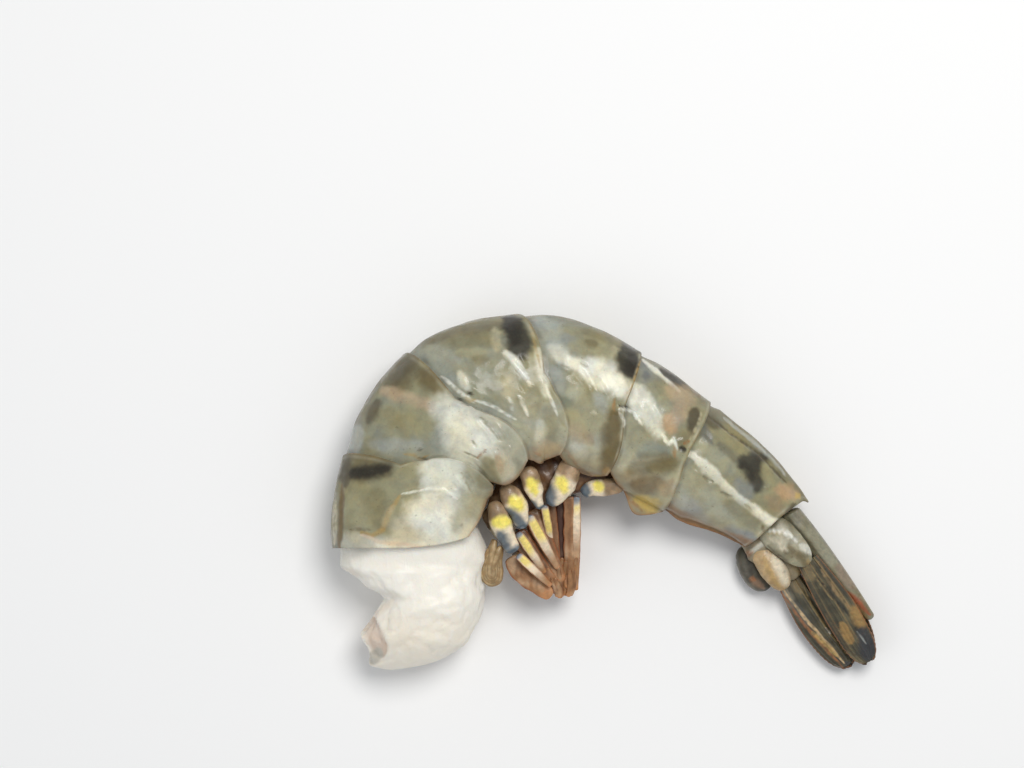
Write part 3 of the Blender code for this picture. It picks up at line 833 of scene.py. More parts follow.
MARKS = {
    1: {
        "straw front": (((352, 500), (360, 520)), 14, STRAW, 0.8),
        "moss side": (((376, 498), (378, 520)), 13, MOSS, 0.6),
        "olive side": (((400, 470), (402, 486)), 13, OLIVE, 0.8),
        "brown rear": (((352, 456), (400, 458)), 6, BROWN, 0.75),
        # Milky and clear shell with painted highlights on the flank.
        "milky flank and painted highlight": (((436, 467), (452, 486)), 21, MILKY_FLANK_AND_HIGHLIGHT, 0.95),
        "clear shell and painted highlight": (((420, 514), (440, 514)), 21, CLEAR_SHELL_AND_HIGHLIGHT, 0.9),
        "painted highlight square": (((424, 524), (443, 532)), 15, HIGHLIGHT_WHITE, 0.9),
        "fawn front": (((400, 530), (412, 536)), 14, FAWN, 0.8),
        "sand lobe": (((474, 505), (486, 512)), 11, SAND, 0.7),
        "clear lobe": (((470, 530), (480, 545)), 14, (0.66, 0.63, 0.53), 0.8),
        "moss lobe": (((482, 478), (490, 486)), 7, MOSS, 0.7),
        "clear corner": (((346, 540), (366, 548)), 12, (0.50, 0.49, 0.42), 0.9),
        "band": (((338, 472), (386, 470)), 10, UMBER, 0.85),
        "heart of the band": (((350, 474), (386, 469)), 6, INK, 0.95),
        "band on the back": (((345, 456), (344, 484)), 5, UMBER, 0.85),
        "line of the back": (((341, 484), (338, 550)), 2.6, CHESTNUT, 0.9),
        "rim light of the back": (((334, 500), (334, 545)), 2.0, FAWN, 0.8),
        # Painted shade in the front crease.
        "brown painted shade in the crease": (((349, 529), (369, 530)), 1.8, BROWN, 0.6),
        "gold fold": (((360, 532), (371, 536), (382, 529), (391, 508), (400, 496)), 2.6, GOLD, 0.9),
        "sand fold": (((384, 524), (392, 508)), 4, SAND, 0.5),
        # Painted highlight along the fold.
        "painted highlight on the fold": (((402, 494), (428, 489), (444, 490), (458, 500)), 1.6, GLINT, 0.7),
        "front edge": (((361, 535), (381, 542), (400, 544), (432, 550), (450, 550)), 2.4,
                       (0.66, 0.54, 0.42), 0.75),
        "gold rim": (((349, 453), (372, 450), (394, 449), (413, 452)), 1.7, GOLD, 0.85),
        # A painted highlight on the rim, then painted shade in the creases under and beside the hinge.
        "painted highlight on the rim": (((432, 450), (457, 449)), 1.5, GLINT, 0.9),
        "painted shade under the hinge": (((412, 453), (421, 460), (430, 459)), 1.8, MOSS, 0.8),
        "painted shade in the crease": (((462, 473), (472, 492)), 1.5, MOSS, 0.6),
        "dot": (((462, 525),), 1.4, INK, 0.8),
    },
    2: {
        "dark back": (((410, 362), (398, 384)), 15, BACK_DARK, 0.9),
        "brown back": (((425, 374), (444, 388)), 11, BROWN, 0.85),
        "darkest back": (((412, 356), (390, 384)), 9, UMBER, 0.6),
        "moss corner": (((438, 382), (448, 390)), 5, MOSS, 0.8),
        "rose stripe": (((384, 390), (402, 397), (432, 407)), 7, ROSE, 0.9),
        "olive side": (((380, 415), (425, 425)), 17, OLIVE, 0.8),
        "yellowish patch": (((388, 412), (398, 425)), 7, (0.26, 0.22, 0.11), 0.5),
        "dark spot": (((376, 402), (368, 420)), 6, UMBER, 0.85),
        "ash patch": (((356, 430), (354, 448)), 8, ASH, 0.85),
        "grey strip": (((372, 444), (420, 445)), 6, SMOKE, 0.7),
        # Milky shell with painted highlights on the flank.
        "milky flank and painted highlight": (((446, 408), (466, 420), (488, 448)), 20, (0.60, 0.60, 0.54), 0.95),
        "painted highlight on the flank": (((455, 420), (478, 446)), 14, HIGHLIGHT_WHITE, 0.8),
        "painted highlight at the corner": (((450, 440), (470, 470)), 12, PALE, 0.7),
        "sand lobe": (((488, 410), (505, 425)), 7, (0.50, 0.49, 0.39), 0.7),
        "moss groove": (((486, 462), (496, 484)), 9, MOSS, 0.75),
        "pale lobe": (((502, 455), (510, 478)), 8, FAWN, 0.8),
        "rose in the lobe": (((498, 458), (502, 470)), 4, ROSE, 0.7),
        "rose at the lobe's end": (((505, 486), (518, 484)), 4, ROSE, 0.7),
        # Painted shade in the lobe crease and the nick.
        "lobe crease": (((481, 417), (502, 442)), 1.6, MOSS, 0.6),
        "nick": (((473, 441), (477, 448)), 1.3, MOSS, 0.7),
        "red split": (((486, 450), (478, 459)), 1.3, RUST, 0.8),
        # Painted shade in the split and the hinge crease, and a painted highlight on the hinge ridge.
        "painted shade in the split": (((478, 459), (464, 452)), 1.2, MOSS, 0.6),
        "painted shade in the hinge crease": (((457, 398), (467, 405)), 1.6, BROWN, 0.9),
        "painted highlight on the hinge ridge": (((442, 376), (455, 388), (465, 397)), 2.0, GLINT, 0.6),
        "fawn rim": (((472, 402), (489, 408), (515, 420), (525, 440)), 1.8, (0.66, 0.62, 0.50), 0.85),
        "rust edge": (((498, 492), (516, 491), (522, 480)), 1.8, RUST, 0.5),
        "edge of the back": (((352, 420), (372, 391), (400, 360)), 1.4, BROWN, 0.6),
    },
    3: {
        "blue front": (((416, 356), (445, 372)), 12, BLUE_GREY, 0.9),
        "smoke front": (((430, 350), (455, 360)), 8, SMOKE, 0.7),
        "dark back": (((428, 340), (460, 330), (505, 324)), 5, BACK_DARK, 0.85),
        "moss back": (((455, 341), (490, 338)), 9, MOSS, 0.75),
        "sand beside the band": (((495, 330), (497, 348)), 5, SAND, 0.75),
        "straw patch": (((458, 353), (482, 352)), 5, STRAW, 0.75),
        "moss spot": (((476, 358), (488, 362)), 6, MOSS, 0.75),
        "grey middle": (((480, 372), (492, 396)), 12, (0.23, 0.24, 0.18), 0.75),
        # Painted highlight on the front ridge.
        "painted highlight on the front ridge": (((460, 374), (467, 388)), 5, PALE, 0.85),
        "sand middle": (((510, 380), (510, 396)), 8, SAND, 0.85),
        "band": (((513, 322), (521, 350)), 13, SOOT, 0.95, CRISP),
        "heart of the band": (((509, 318), (516, 340)), 8, INK, 0.95),
        # Painted highlights under the band and along the rear swell.
        "painted highlight under the band": (((506, 352), (516, 362), (526, 378)), 4, GLINT, 0.8),
        "painted highlight at the rear": (((538, 350), (542, 372), (546, 394)), 5, PALE, 0.8),
        "fawn hook": (((527, 381), (531, 387)), 2.4, FAWN, 0.9),
        # Painted highlights on the crests.
        "painted highlight on the sharp crest": (((519, 395), (528, 416)), 1.8, GLINT, 0.8),
        "painted highlight on the short crest": (((509, 398), (513, 410)), 2.2, PALE, 0.7),
        "moss under the hinge": (((500, 400), (508, 408)), 6, MOSS, 0.4),
        "smoke lobe": (((518, 425), (524, 448)), 9, (0.36, 0.365, 0.29), 0.8),
        "moss lobe": (((548, 412), (552, 440)), 8, (0.24, 0.23, 0.16), 0.75),
        "pale lobe": (((540, 425), (541, 446)), 6, PALE, 0.5),
        "rose lobe": (((532, 455), (556, 450)), 9, ROSE, 0.65),
        "fawn spot": (((535, 462), (540, 464)), 4, FAWN, 0.7),
        "blue spot": (((552, 462), (562, 456)), 4, STEEL, 0.7),
        "rust spot": (((534, 453), (541, 456)), 1.4, RUST, 0.5),
        "gold rim": (((530, 319), (534, 342), (541, 367)), 1.6, GOLD, 0.85),
        # Painted highlight on the rim.
        "painted highlight on the rim": (((545, 384), (553, 404), (557, 416)), 1.6, GLINT, 0.8),
        "moss rim": (((558, 417), (568, 432), (569, 446)), 1.5, STRAW, 0.7),
        "dark edge": (((567, 454), (552, 468), (534, 472)), 1.6, (0.18, 0.08, 0.035), 0.8),
        # Painted shade in the hinge's pit.
        "painted shade in the hinge pit": (((469, 394),), 2.2, INK, 0.9),
        "gold of the hinge": (((466, 400), (474, 401)), 1.8, GOLD, 0.7),
    },
    4: {
        "blue front": (((540, 322), (556, 338)), 13, (0.36, 0.385, 0.37), 0.9),
        "steel front": (((566, 336), (576, 350)), 8, STEEL, 0.7),
        "brown back": (((585, 330), (615, 338), (634, 350)), 5, MOSS, 0.7),
        "straw side": (((574, 346), (608, 350)), 9, STRAW, 0.75),
        "dark spot": (((588, 341), (596, 343)), 4.5, BROWN, 0.6),
        "sand spot": (((614, 348), (616, 358)), 5, SAND, 0.6),
        # The next three marks are painted highlights on the flank.
        "painted highlight in front": (((552, 348), (566, 358)), 8, PALE, 0.9),
        "painted highlight in the middle": (((572, 362), (590, 370), (606, 384)), 9, HIGHLIGHT_WHITE, 0.85),
        "broad painted highlight at the rear": (((594, 366), (610, 374), (622, 388)), 12, HIGHLIGHT_WHITE, 0.95),
        "milky middle": (((570, 395), (580, 390)), 9, (0.40, 0.40, 0.31), 0.8),
        "smoke side": (((556, 372), (560, 392)), 7, SMOKE, 0.8),
        "steel side": (((553, 398), (568, 404)), 7, (0.22, 0.235, 0.17), 0.75),
        "smoke rear": (((598, 396), (604, 410)), 6, SMOKE, 0.8),
        "straw lobe": (((575, 415), (596, 425)), 16, STRAW, 0.75),
        "rose lobe": (((572, 432), (588, 440)), 9, ROSE, 0.5),
        "brown spot": (((586, 436), (591, 442)), 5, CHESTNUT, 0.3),
        "pale lobe": (((574, 448), (582, 456)), 7, PALE, 0.6),
        "band": (((628, 349), (631, 372)), 13, SOOT, 0.96, CRISP),
        "heart of the band": (((634, 356), (631, 372)), 8, INK, 0.95),
        "dark wedge": (((613, 418), (613, 448), (606, 468)), 10.5, BROWN, 0.95),
        "foot of the wedge": (((610, 452), (608, 464)), 6, BROWN, 0.7),
        # A painted highlight on the crest, and painted shade in the crease above it.
        "painted highlight on the sharp crest": (((580, 365), (587, 370), (597, 390)), 1.6, GLINT, 0.9),
        "crease above it": (((581, 363), (588, 366)), 1.3, BROWN, 0.8),
        "gold rim": (((641, 360), (633, 386), (625, 398)), 1.7, GOLD, 0.85),
        "tan at the hinge": (((614, 402), (614, 412)), 1.8, (0.30, 0.18, 0.08), 0.7),
        "bead": (((591, 413), (597, 413)), 1.6, FAWN, 0.7),
        "rust lobe edge": (((560, 446), (580, 470), (600, 478)), 2.2, RUST, 0.45),
        "orange corner": (((606, 473), (616, 482)), 5, (0.52, 0.30, 0.10), 0.7),
    },
    5: {
        "blue front": (((646, 368), (656, 380)), 11, STEEL, 0.85),
        "dark spot": (((646, 372), (648, 378)), 4, (0.12, 0.135, 0.16), 0.6),
        "olive side": (((652, 388), (670, 392)), 10, OLIVE, 0.8),
        # Painted highlight on the ridge of the back.
        "painted highlight on the ridge of the back": (((643, 359), (662, 374), (680, 390)), 2.6, GLINT, 0.85),
        "dark back": (((663, 369), (676, 379), (686, 386)), 4, INK, 0.9),
        "rust back": (((684, 384), (704, 396)), 2.4, CHESTNUT, 0.7),
        # A painted highlight patch, dimmer in its middle.
        "painted highlight patch": (((632, 388), (645, 406), (658, 430)), 11, (0.68, 0.69, 0.64), 0.95, CRISP),
        "shade in the patch": (((640, 398), (654, 418)), 8, PALE, 0.6),
        "rose side": (((672, 390), (686, 398), (678, 416)), 10, ROSE, 0.8),
        "salmon side": (((668, 418), (672, 430)), 8, SALMON, 0.85),
        "straw side": (((662, 398), (668, 410)), 5, STRAW, 0.6),
        "band": (((696, 412), (692, 430)), 6.5, UMBER, 0.95, CRISP),
        "foot of the band": (((688, 434), (678, 442)), 6, MOSS, 0.8),
        "sand rim": (((702, 412), (699, 424), (690, 440)), 1.8, SAND, 0.8),
        "straw lobe": (((632, 425), (648, 450)), 13, (0.30, 0.295, 0.22), 0.8),
        "blue lobe": (((640, 452), (665, 452)), 8, (0.25, 0.275, 0.24), 0.7),
        "pale fan": (((618, 468), (642, 465), (668, 458)), 3.6, (0.47, 0.46, 0.37), 0.75),
        "moss fan": (((650, 470), (674, 464)), 8, MOSS, 0.8),
        "sand lobe": (((626, 478), (640, 480)), 9, (0.31, 0.26, 0.18), 0.7),
        "chestnut lobe": (((632, 470), (648, 464), (668, 462)), 10, BROWN, 0.6),
        "foot of the lobe": (((636, 486), (660, 484)), 9, CHESTNUT, 0.8),
        "sand corner": (((664, 492), (670, 484)), 8, (0.36, 0.28, 0.18), 0.7),
        "lemon spot": (((639, 502), (654, 510)), 9, LEMON, 0.95),
        "rust edge": (((622, 492), (632, 504), (641, 513)), 2.0, RUST, 0.7),
        "orange corner": (((612, 484), (620, 490)), 4, (0.40, 0.22, 0.10), 0.6),
        # Painted shade in the hinge's slit, and painted highlights on the creases and the curl around it.
        "painted shade in the hinge slit": (((619, 406), (626, 407)), 2.0, INK, 0.9),
        "painted highlight over the slit": (((622, 411), (632, 410), (642, 424)), 1.7, GLINT, 0.85),
        "painted highlight under the slit": (((621, 413), (625, 426)), 1.6, GLINT, 0.7),
        "painted highlight on the curl": (((662, 434), (668, 444), (674, 441)), 2.0, GLINT, 0.9),
        "tan at the hinge": (((675, 446), (674, 456)), 1.7, (0.28, 0.16, 0.07), 0.7),
    },
    6: {
        "olive front": (((690, 425), (700, 446)), 9, (0.27, 0.28, 0.21), 0.7),
        "straw back": (((712, 430), (742, 448)), 12, (0.28, 0.255, 0.145), 0.85),
        "dark corner": (((702, 412), (716, 424)), 7, UMBER, 0.75),
        "blue spot": (((704, 428), (710, 442)), 5, (0.11, 0.12, 0.125), 0.75),
        "blue line": (((720, 444), (738, 460)), 4.5, (0.13, 0.125, 0.09), 0.7),
        "band": (((744, 462), (764, 457)), 10, SOOT, 0.95, CRISP),
        "foot of the band": (((757, 462), (756, 488)), 8.5, SOOT, 0.95),
        "heart of the band": (((744, 464), (752, 476)), 5, INK, 0.7),
        "steel side": (((740, 484), (748, 494)), 8, STEEL, 0.8),
        "olive rear": (((768, 466), (774, 480)), 8, OLIVE, 0.8),
        "salmon rear": (((782, 490), (792, 494)), 9, SALMON, 0.9),
        "sand rear": (((770, 500), (780, 508)), 8, (0.30, 0.235, 0.15), 0.75),
        "gold tip": (((797, 494), (800, 497)), 3.5, (0.50, 0.36, 0.12), 0.8),
        "straw middle": (((700, 445), (730, 470)), 8, (0.33, 0.325, 0.24), 0.6),
        # The next four marks are painted highlights along the flank ridge.
        "painted highlight at the start of the ridge": (((684, 452), (692, 454), (700, 461)), 3.4, GLINT, 0.95, CRISP),
        "painted highlight on the flank ridge": (((700, 462), (718, 479)), 6.5, HIGHLIGHT_WHITE, 0.97, CRISP),
        "painted highlight in the middle of the ridge": (((718, 479), (735, 496), (748, 506)), 4.6, GLINT, 0.95, CRISP),
        "painted highlight at the end of the ridge": (((750, 507), (766, 519), (782, 526)), 5.2, CLEAR_SHELL_AND_HIGHLIGHT, 0.95, CRISP),
        # Painted shade in the notches of the ridge.
        "first notch": (((703, 476), (709, 482), (714, 481)), 1.8, UMBER, 0.9),
        "second notch": (((721, 492), (728, 497), (732, 496)), 1.7, UMBER, 0.9),
        "third notch": (((744, 504), (752, 511)), 1.5, MOSS, 0.7),
        "grey lower side": (((690, 480), (740, 520)), 20, (0.33, 0.33, 0.26), 0.6),
        "ash lower side": (((676, 505), (700, 518)), 11, (0.34, 0.355, 0.36), 0.75),
        "blue corner": (((728, 532), (752, 540)), 7, (0.25, 0.27, 0.30), 0.8),
        "moss corner": (((730, 505), (755, 524)), 9, MOSS, 0.5),
        # A painted highlight along the keel, and painted shade in its groove.
        "painted highlight along the keel": (((724, 417), (750, 438), (770, 454), (786, 474)), 2.4, ASH, 0.8),
        "groove of the keel": (((706, 412), (732, 433), (760, 453), (787, 481)), 1.7, UMBER, 0.85),
        "edge of the keel": (((725, 414), (756, 436), (786, 470)), 1.6, BROWN, 0.6),
        "rust lower edge": (((660, 506), (690, 524), (718, 537), (750, 546)), 6, (0.30, 0.15, 0.07), 0.9),
        "line above the edge": (((700, 528), (738, 540)), 1.6, UMBER, 0.6),
        # Painted shade in the hinge's pit.
        "painted shade in the hinge pit": (((680, 447),), 3.2, INK, 0.95),
        "gold of the hinge": (((677, 452), (678, 458)), 2.0, GOLD, 0.8),
        "dark rear rim": (((795, 503), (786, 515)), 2.6, UMBER, 0.9),
        "moss rear rim": (((785, 516), (780, 521)), 3.2, BROWN, 0.8),
        "nick of the rear rim": (((764, 532), (762, 525)), 1.8, BROWN, 0.8),
    },
}
# The pits, slits and white curls of the hinges, which cross from one plate to the next.
# The white curls, lips and crease are painted highlights; the dark pits, slit and shadow are painted
# shade.
HINGE_MARKS = {
    "first hinge": (((404, 455), (414, 455), (421, 459), (429, 455)), 1.7, GOLD, 0.85),
    "painted shade in the first pit": (((418, 449), (422, 449)), 1.8, UMBER, 0.9),
    "first shadow": (((418, 457), (428, 460)), 1.4, INK, 0.7),
    "painted highlight on the lip of the second hinge": (((441, 375), (452, 385), (465, 397), (473, 402)), 2.0, GLINT, 0.75),
    "painted shade in the slit of the second hinge": (((458, 398), (468, 406)), 1.8, SOOT, 0.9),
    "painted shade in the second pit": (((468, 393), (471, 395)), 2.2, INK, 0.95),
    "gold of the second hinge": (((464, 397), (469, 401), (475, 400)), 1.8, GOLD, 0.8),
    "painted highlight on the lip behind it": (((474, 401), (489, 404), (503, 412), (516, 420)), 1.6, GLINT, 0.8),
    "amber of the third hinge": (((615, 399), (614, 409)), 1.6, AMBER, 0.7),
    "painted shade in the third pit": (((620, 406), (627, 407)), 2.2, INK, 0.95),
    "painted highlight on the curl of the third hinge": (((619, 410), (628, 410), (634, 413), (640, 422)), 1.8, GLINT, 0.9),
    "painted highlight on the crease below it": (((619, 412), (624, 420), (624, 428)), 1.6, GLINT, 0.7),
    "painted highlight on the curl of the fourth hinge": (((664, 440), (670, 444), (674, 439), (677, 450)), 2.0, GLINT, 0.9),
    "amber of the fourth hinge": (((675, 448), (674, 458)), 1.6, AMBER, 0.7),
    "painted shade in the fourth pit": (((680, 449), (686, 450)), 3.0, INK, 0.95),
    "red of the fourth hinge": (((684, 444), (690, 440)), 1.8, RUST, 0.7),
}


def plate_colours(plate, canvas, across, from_front, from_rear):
    drift = clouds(canvas.points, 6.0, 11)
    canvas.blend(BLUE_GREY, 0.7 * ramp(drift - 0.10 * from_front, -0.9, 0.1))
    canvas.blend(MILK, 0.7 * ramp(across + 0.12 * clouds(canvas.points, 3.0, 12), 0.50, 0.78))
    # Darker along the back: partly the back's own pigment, partly painted shade where the back curves
    # away.
    canvas.blend(BACK_DARK, 0.7 * (1 - ramp(across, 0.06, 0.24)))
    canvas.blend(MOSS, 0.25 * ramp(clouds(canvas.points, 2.6, 13), 0.05, 0.55))
    if plate == 1:
        canvas.blend(CLEAR_SHELL_AND_HIGHLIGHT, 0.8 * (1 - ramp(from_front, 0.3, 2.6)) * ramp(across, 0.25, 0.45))
    canvas.strokes(MARKS[plate])
    canvas.strokes(HINGE_MARKS)
    lobe = ramp(across + 0.05 * drift, 0.80, 0.98)
    canvas.blend(LOBE_BROWN, (0.1 if plate < 3 else 0.5) * lobe)
    canvas.blend(RUST, 0.45 * ramp(across, 0.972, 0.995))
    uneven = np.clip(0.5 + canvas.drift[0], 0, 1)
    # A pale line just inside each rear rim is a painted highlight on the rim's lip, and a dark line runs
    # along its very edge.
    canvas.blend(PALE, 0.3 * bell(from_rear - 0.4, 0.2) * uneven)
    canvas.blend(CHESTNUT, 0.7 * bell(from_rear - 0.08, 0.12) * uneven)
    # On the plates behind the first, a dark line just behind the rim of the plate in front is painted
    # shadow under that rim.
    if plate > 1:
        canvas.blend(UMBER, 0.45 * bell(from_front, 0.3) * uneven)


# %% Make the six plates
PLATE_COLUMNS = 260
PLATE_ROWS = 96


def make_plate(plate):
    def formula(w, along):
        front = front_rim(plate, w)
        rear = rear_rim(plate, w)
        t = front + (rear - front) * along
        from_front = (t - front) * LINK[plate]
        from_rear = (rear - t) * LINK[plate]
        behind = from_front - PLATE_TUCK - 0.3
        sink = np.zeros_like(t) if plate == 1 else PLATE_STEP * (1 - ease(behind / PLATE_RISE))
        corner = np.abs(along - LOBE_MIDDLE) / LOBE_MIDDLE
        cut = CORNER_CUT if plate < 6 else LAST_CORNER_CUT
        reach = LOBE_REACH[plate - 1] * (1 - cut * corner ** CORNER_POWER)
        if plate == 5:
            reach = reach + LAST_LOBE * bell(along - LAST_LOBE_AT, LAST_LOBE_LENGTH)
        canvas = Canvas(shell_point(t, w, sink, reach), OLIVE)
        open_front = from_front if plate == 1 else behind
        relief = plate_relief(plate, canvas, np.abs(w), from_rear, open_front)
        plate_colours(plate, canvas, np.abs(w), open_front, from_rear)
        return shell_point(t, w, sink + SKIN_SINK - relief, reach), canvas.colour

    return shaped_grid(PLATE_COLUMNS, PLATE_ROWS, formula)


for number in range(1, 7):
    nodes = [f"shell_{number}"]
    plate = add_piece(f"plate_{number}", make_plate(number), SHELL, nodes, PLATE_WALL)
    print(plate.name, len(plate.data.vertices), "points")


# %% [markdown]
# ## The tail fan
# The tail is folded shut: a stiff spike on the back edge, two blades on each side under it, and
# the joints that carry them. The blades have raised ribs, a dark ground and a brown, toothed edge.

# %% Places in the fan
TAIL_ANGLE = math.radians(HEADING[-1])


def tail_points(ahead, up, z):
    """Ahead from the last shell joint, up towards the back, and height."""
    x = JOINTS[7][0] + ahead * math.cos(TAIL_ANGLE) - up * math.sin(TAIL_ANGLE)
    y = JOINTS[7][1] + ahead * math.sin(TAIL_ANGLE) + up * math.cos(TAIL_ANGLE)
    return np.stack(np.broadcast_arrays(x, y, z), -1)


TAIL_BLACK = (0.022, 0.020, 0.014)
TAIL_DARK = (0.052, 0.046, 0.028)
TAIL_OLIVE = (0.110, 0.096, 0.055)
TAIL_TAN = (0.30, 0.185, 0.065)
TAIL_GOLD = (0.34, 0.245, 0.11)
TAIL_CREAM = (0.58, 0.42, 0.24)
TAIL_BLUE = (0.034, 0.036, 0.042)
TAIL_RED = (0.30, 0.075, 0.025)
TELSON_GREY = (0.215, 0.200, 0.130)

# %% Telson
TELSON_LENGTH = 23.0
TELSON_START = -0.2
TELSON_HALF_DEEP = 1.9
TELSON_HALF_WIDE = 2.4
TELSON_CLOSING = 0.03
TELSON_AROUND = 48
TELSON_ROWS = 160
TELSON_MARKS = {
    "upper line": (((803, 508), (822, 538), (842, 566)), 2.0, UMBER, 0.7),
    "pale side": (((812, 530), (832, 560)), 7, (0.27, 0.26, 0.19), 0.7),
    "grey front": (((797, 512), (800, 520)), 6, (0.20, 0.185, 0.14), 0.7),
    "pinkish middle": (((838, 568), (852, 586)), 5, (0.26, 0.20, 0.15), 0.8),
    "red streak": (((842, 590), (858, 602), (870, 614)), 3.2, TAIL_RED, 0.9),
    "lower line": (((820, 565), (846, 592)), 2.4, UMBER, 0.8),
    "tan edge": (((852, 586), (874, 616)), 1.8, CHESTNUT, 0.7),
    "tan patch": (((856, 612), (862, 622)), 7, TAIL_TAN, 0.9),
    "blue tip": (((872, 634), (874, 646)), 6, TAIL_BLUE, 0.9),
}


def telson_formula(angle, along):
    close = np.sqrt(1 - (1 - np.minimum(np.minimum(along, 1 - along) / TELSON_CLOSING, 1)) ** 2)
    half_deep = TELSON_HALF_DEEP * (1 - 0.55 * along ** 2) * close
    half_wide = TELSON_HALF_WIDE * (1 - 0.70 * along ** 1.4) * close
    groove = 0.35 * (bell(angle - 1.1, 0.22) + bell(angle - 2.2, 0.2)) * (1 - along) * close
    up = 3.1 + 3.2 * along ** 0.85 + (half_deep - 0.1 - 0.5 * groove) * np.cos(angle)
    height = 5.4 - 1.4 * along + (half_wide - 0.1 - groove) * np.sin(angle)
    points = tail_points(TELSON_START + TELSON_LENGTH * along, up, height)
    points[:, 2] += 0.12 * clouds(points, 1.8, 20) * close
    canvas = Canvas(points, TELSON_GREY)
    canvas.blend((0.30, 0.29, 0.23), 0.7 * ramp(clouds(points, 3.0, 21), 0.0, 0.5))
    canvas.blend(TAIL_OLIVE, ramp(-np.cos(angle), 0.5, 1.0))
    canvas.strokes(TELSON_MARKS)
    return points, canvas.colour


telson = shaped_ball(TELSON_AROUND, TELSON_ROWS, telson_formula)
add_piece("telson_spike", telson, LIMB, ["telson"])
print("telson length in mm:", TELSON_LENGTH)

# %% Blades of the fan
BLADE_WALL = 0.45
BLADE_COLUMNS = 72
BLADE_ROWS = 150
# Each blade: its start and end in the fan's own places, half width, tilt, bow and crown.
TAIL_BLADES = {
    "endopod_left": ((8.6, 1.7, 7.2), (28.6, 2.3, 5.0), 3.0, 4, 0.2, 0.35),
    "exopod_left": ((8.2, -2.4, 4.0), (27.6, -1.0, 3.4), 2.9, 6, -0.6, 0.35),
    "endopod_right": ((8.8, 2.2, 2.5), (27.4, 3.2, 2.2), 2.8, 6, 0.4, -0.3),
    "exopod_right": ((9.4, -2.6, 1.4), (27.8, 0.2, 1.2), 2.9, -4, -0.6, -0.3),
}
BLADE_RIBS = {"endopod": (0.05, -0.62, 0.62), "exopod": (0.40, -0.52, 0.78)}
BLADE_MARKS = {
    "endopod": {
        "olive start": (((806, 566), (812, 580)), 5, (0.22, 0.17, 0.09), 0.8),
        "dark middle": (((812, 585), (835, 625)), 8, TAIL_DARK, 0.5),
        "tan edge": (((818, 562), (836, 592), (852, 612)), 2.2, (0.28, 0.19, 0.09), 0.8),
        "black groove": (((819, 578), (835, 600), (850, 615)), 1.6, TAIL_BLACK, 0.9),
        "gold rib": (((812, 572), (822, 586), (832, 600)), 1.0, TAIL_GOLD, 0.6),
        "tan patch": (((856, 612), (862, 624)), 7, TAIL_TAN, 0.9),
        "tan oval": (((842, 624), (850, 641)), 4.5, TAIL_TAN, 0.95, CRISP),
        "brown rib": (((826, 614), (842, 640), (856, 664)), 2.0, (0.10, 0.07, 0.035), 0.7),
        "blue end": (((864, 634), (868, 655)), 10, TAIL_BLUE, 0.9, CRISP),
        "grey glint": (((857, 632), (866, 644)), 1.0, (0.30, 0.31, 0.30), 0.8),
        "olive end": (((848, 655), (866, 668)), 5, (0.15, 0.12, 0.065), 0.8),
        "brown fringe": (((866, 668), (872, 662)), 3, CHESTNUT, 0.7),
    },
    "exopod": {
        "grey start": (((782, 590), (790, 604)), 6, (0.30, 0.28, 0.23), 0.8),
        "slate ground": (((788, 600), (808, 622)), 5, (0.085, 0.088, 0.080), 0.8),
        "cream line": (((784, 590), (800, 612), (824, 640), (845, 663)), 1.6, TAIL_CREAM, 0.9, CRISP),
        "rust fringe": (((780, 590), (796, 614), (820, 643), (843, 667)), 1.5, RUST, 0.9),
        "gold middle": (((812, 632), (838, 656)), 2.2, (0.44, 0.29, 0.10), 0.85),
        "gold rib": (((803, 585), (812, 606), (826, 628), (846, 654)), 1.0, TAIL_GOLD, 0.8),
        "glint": (((826, 628), (831, 634)), 1.1, GLINT, 0.6),
        "dark end": (((834, 645), (846, 660)), 2.2, TAIL_DARK, 0.7),
        "olive start": (((792, 578), (800, 590)), 5, (0.25, 0.19, 0.10), 0.7),
        "blue end": (((846, 662), (856, 670)), 3, TAIL_BLUE, 0.8),
    },
}


def leaf_width(u):
    """Half width of a blade along its length, as a share of the widest."""
    rise = 0.62 + 0.38 * np.sin(math.pi / 2 * np.minimum(u / 0.6, 1))
    fall = np.maximum(1 - np.maximum((u - 0.6) / 0.4, 0) ** 3.0, 0)
    return rise * (0.25 + 0.75 * np.sqrt(fall))


def leaf_sides(start, end, tilt):
    """The directions across and out of a blade."""
    ahead = Vector(end - start).normalized()
    side = Vector((0, 0, 1)).cross(ahead).normalized()
    side = Matrix.Rotation(math.radians(tilt), 3, ahead) @ side
    return np.array(side), np.array(ahead.cross(side))


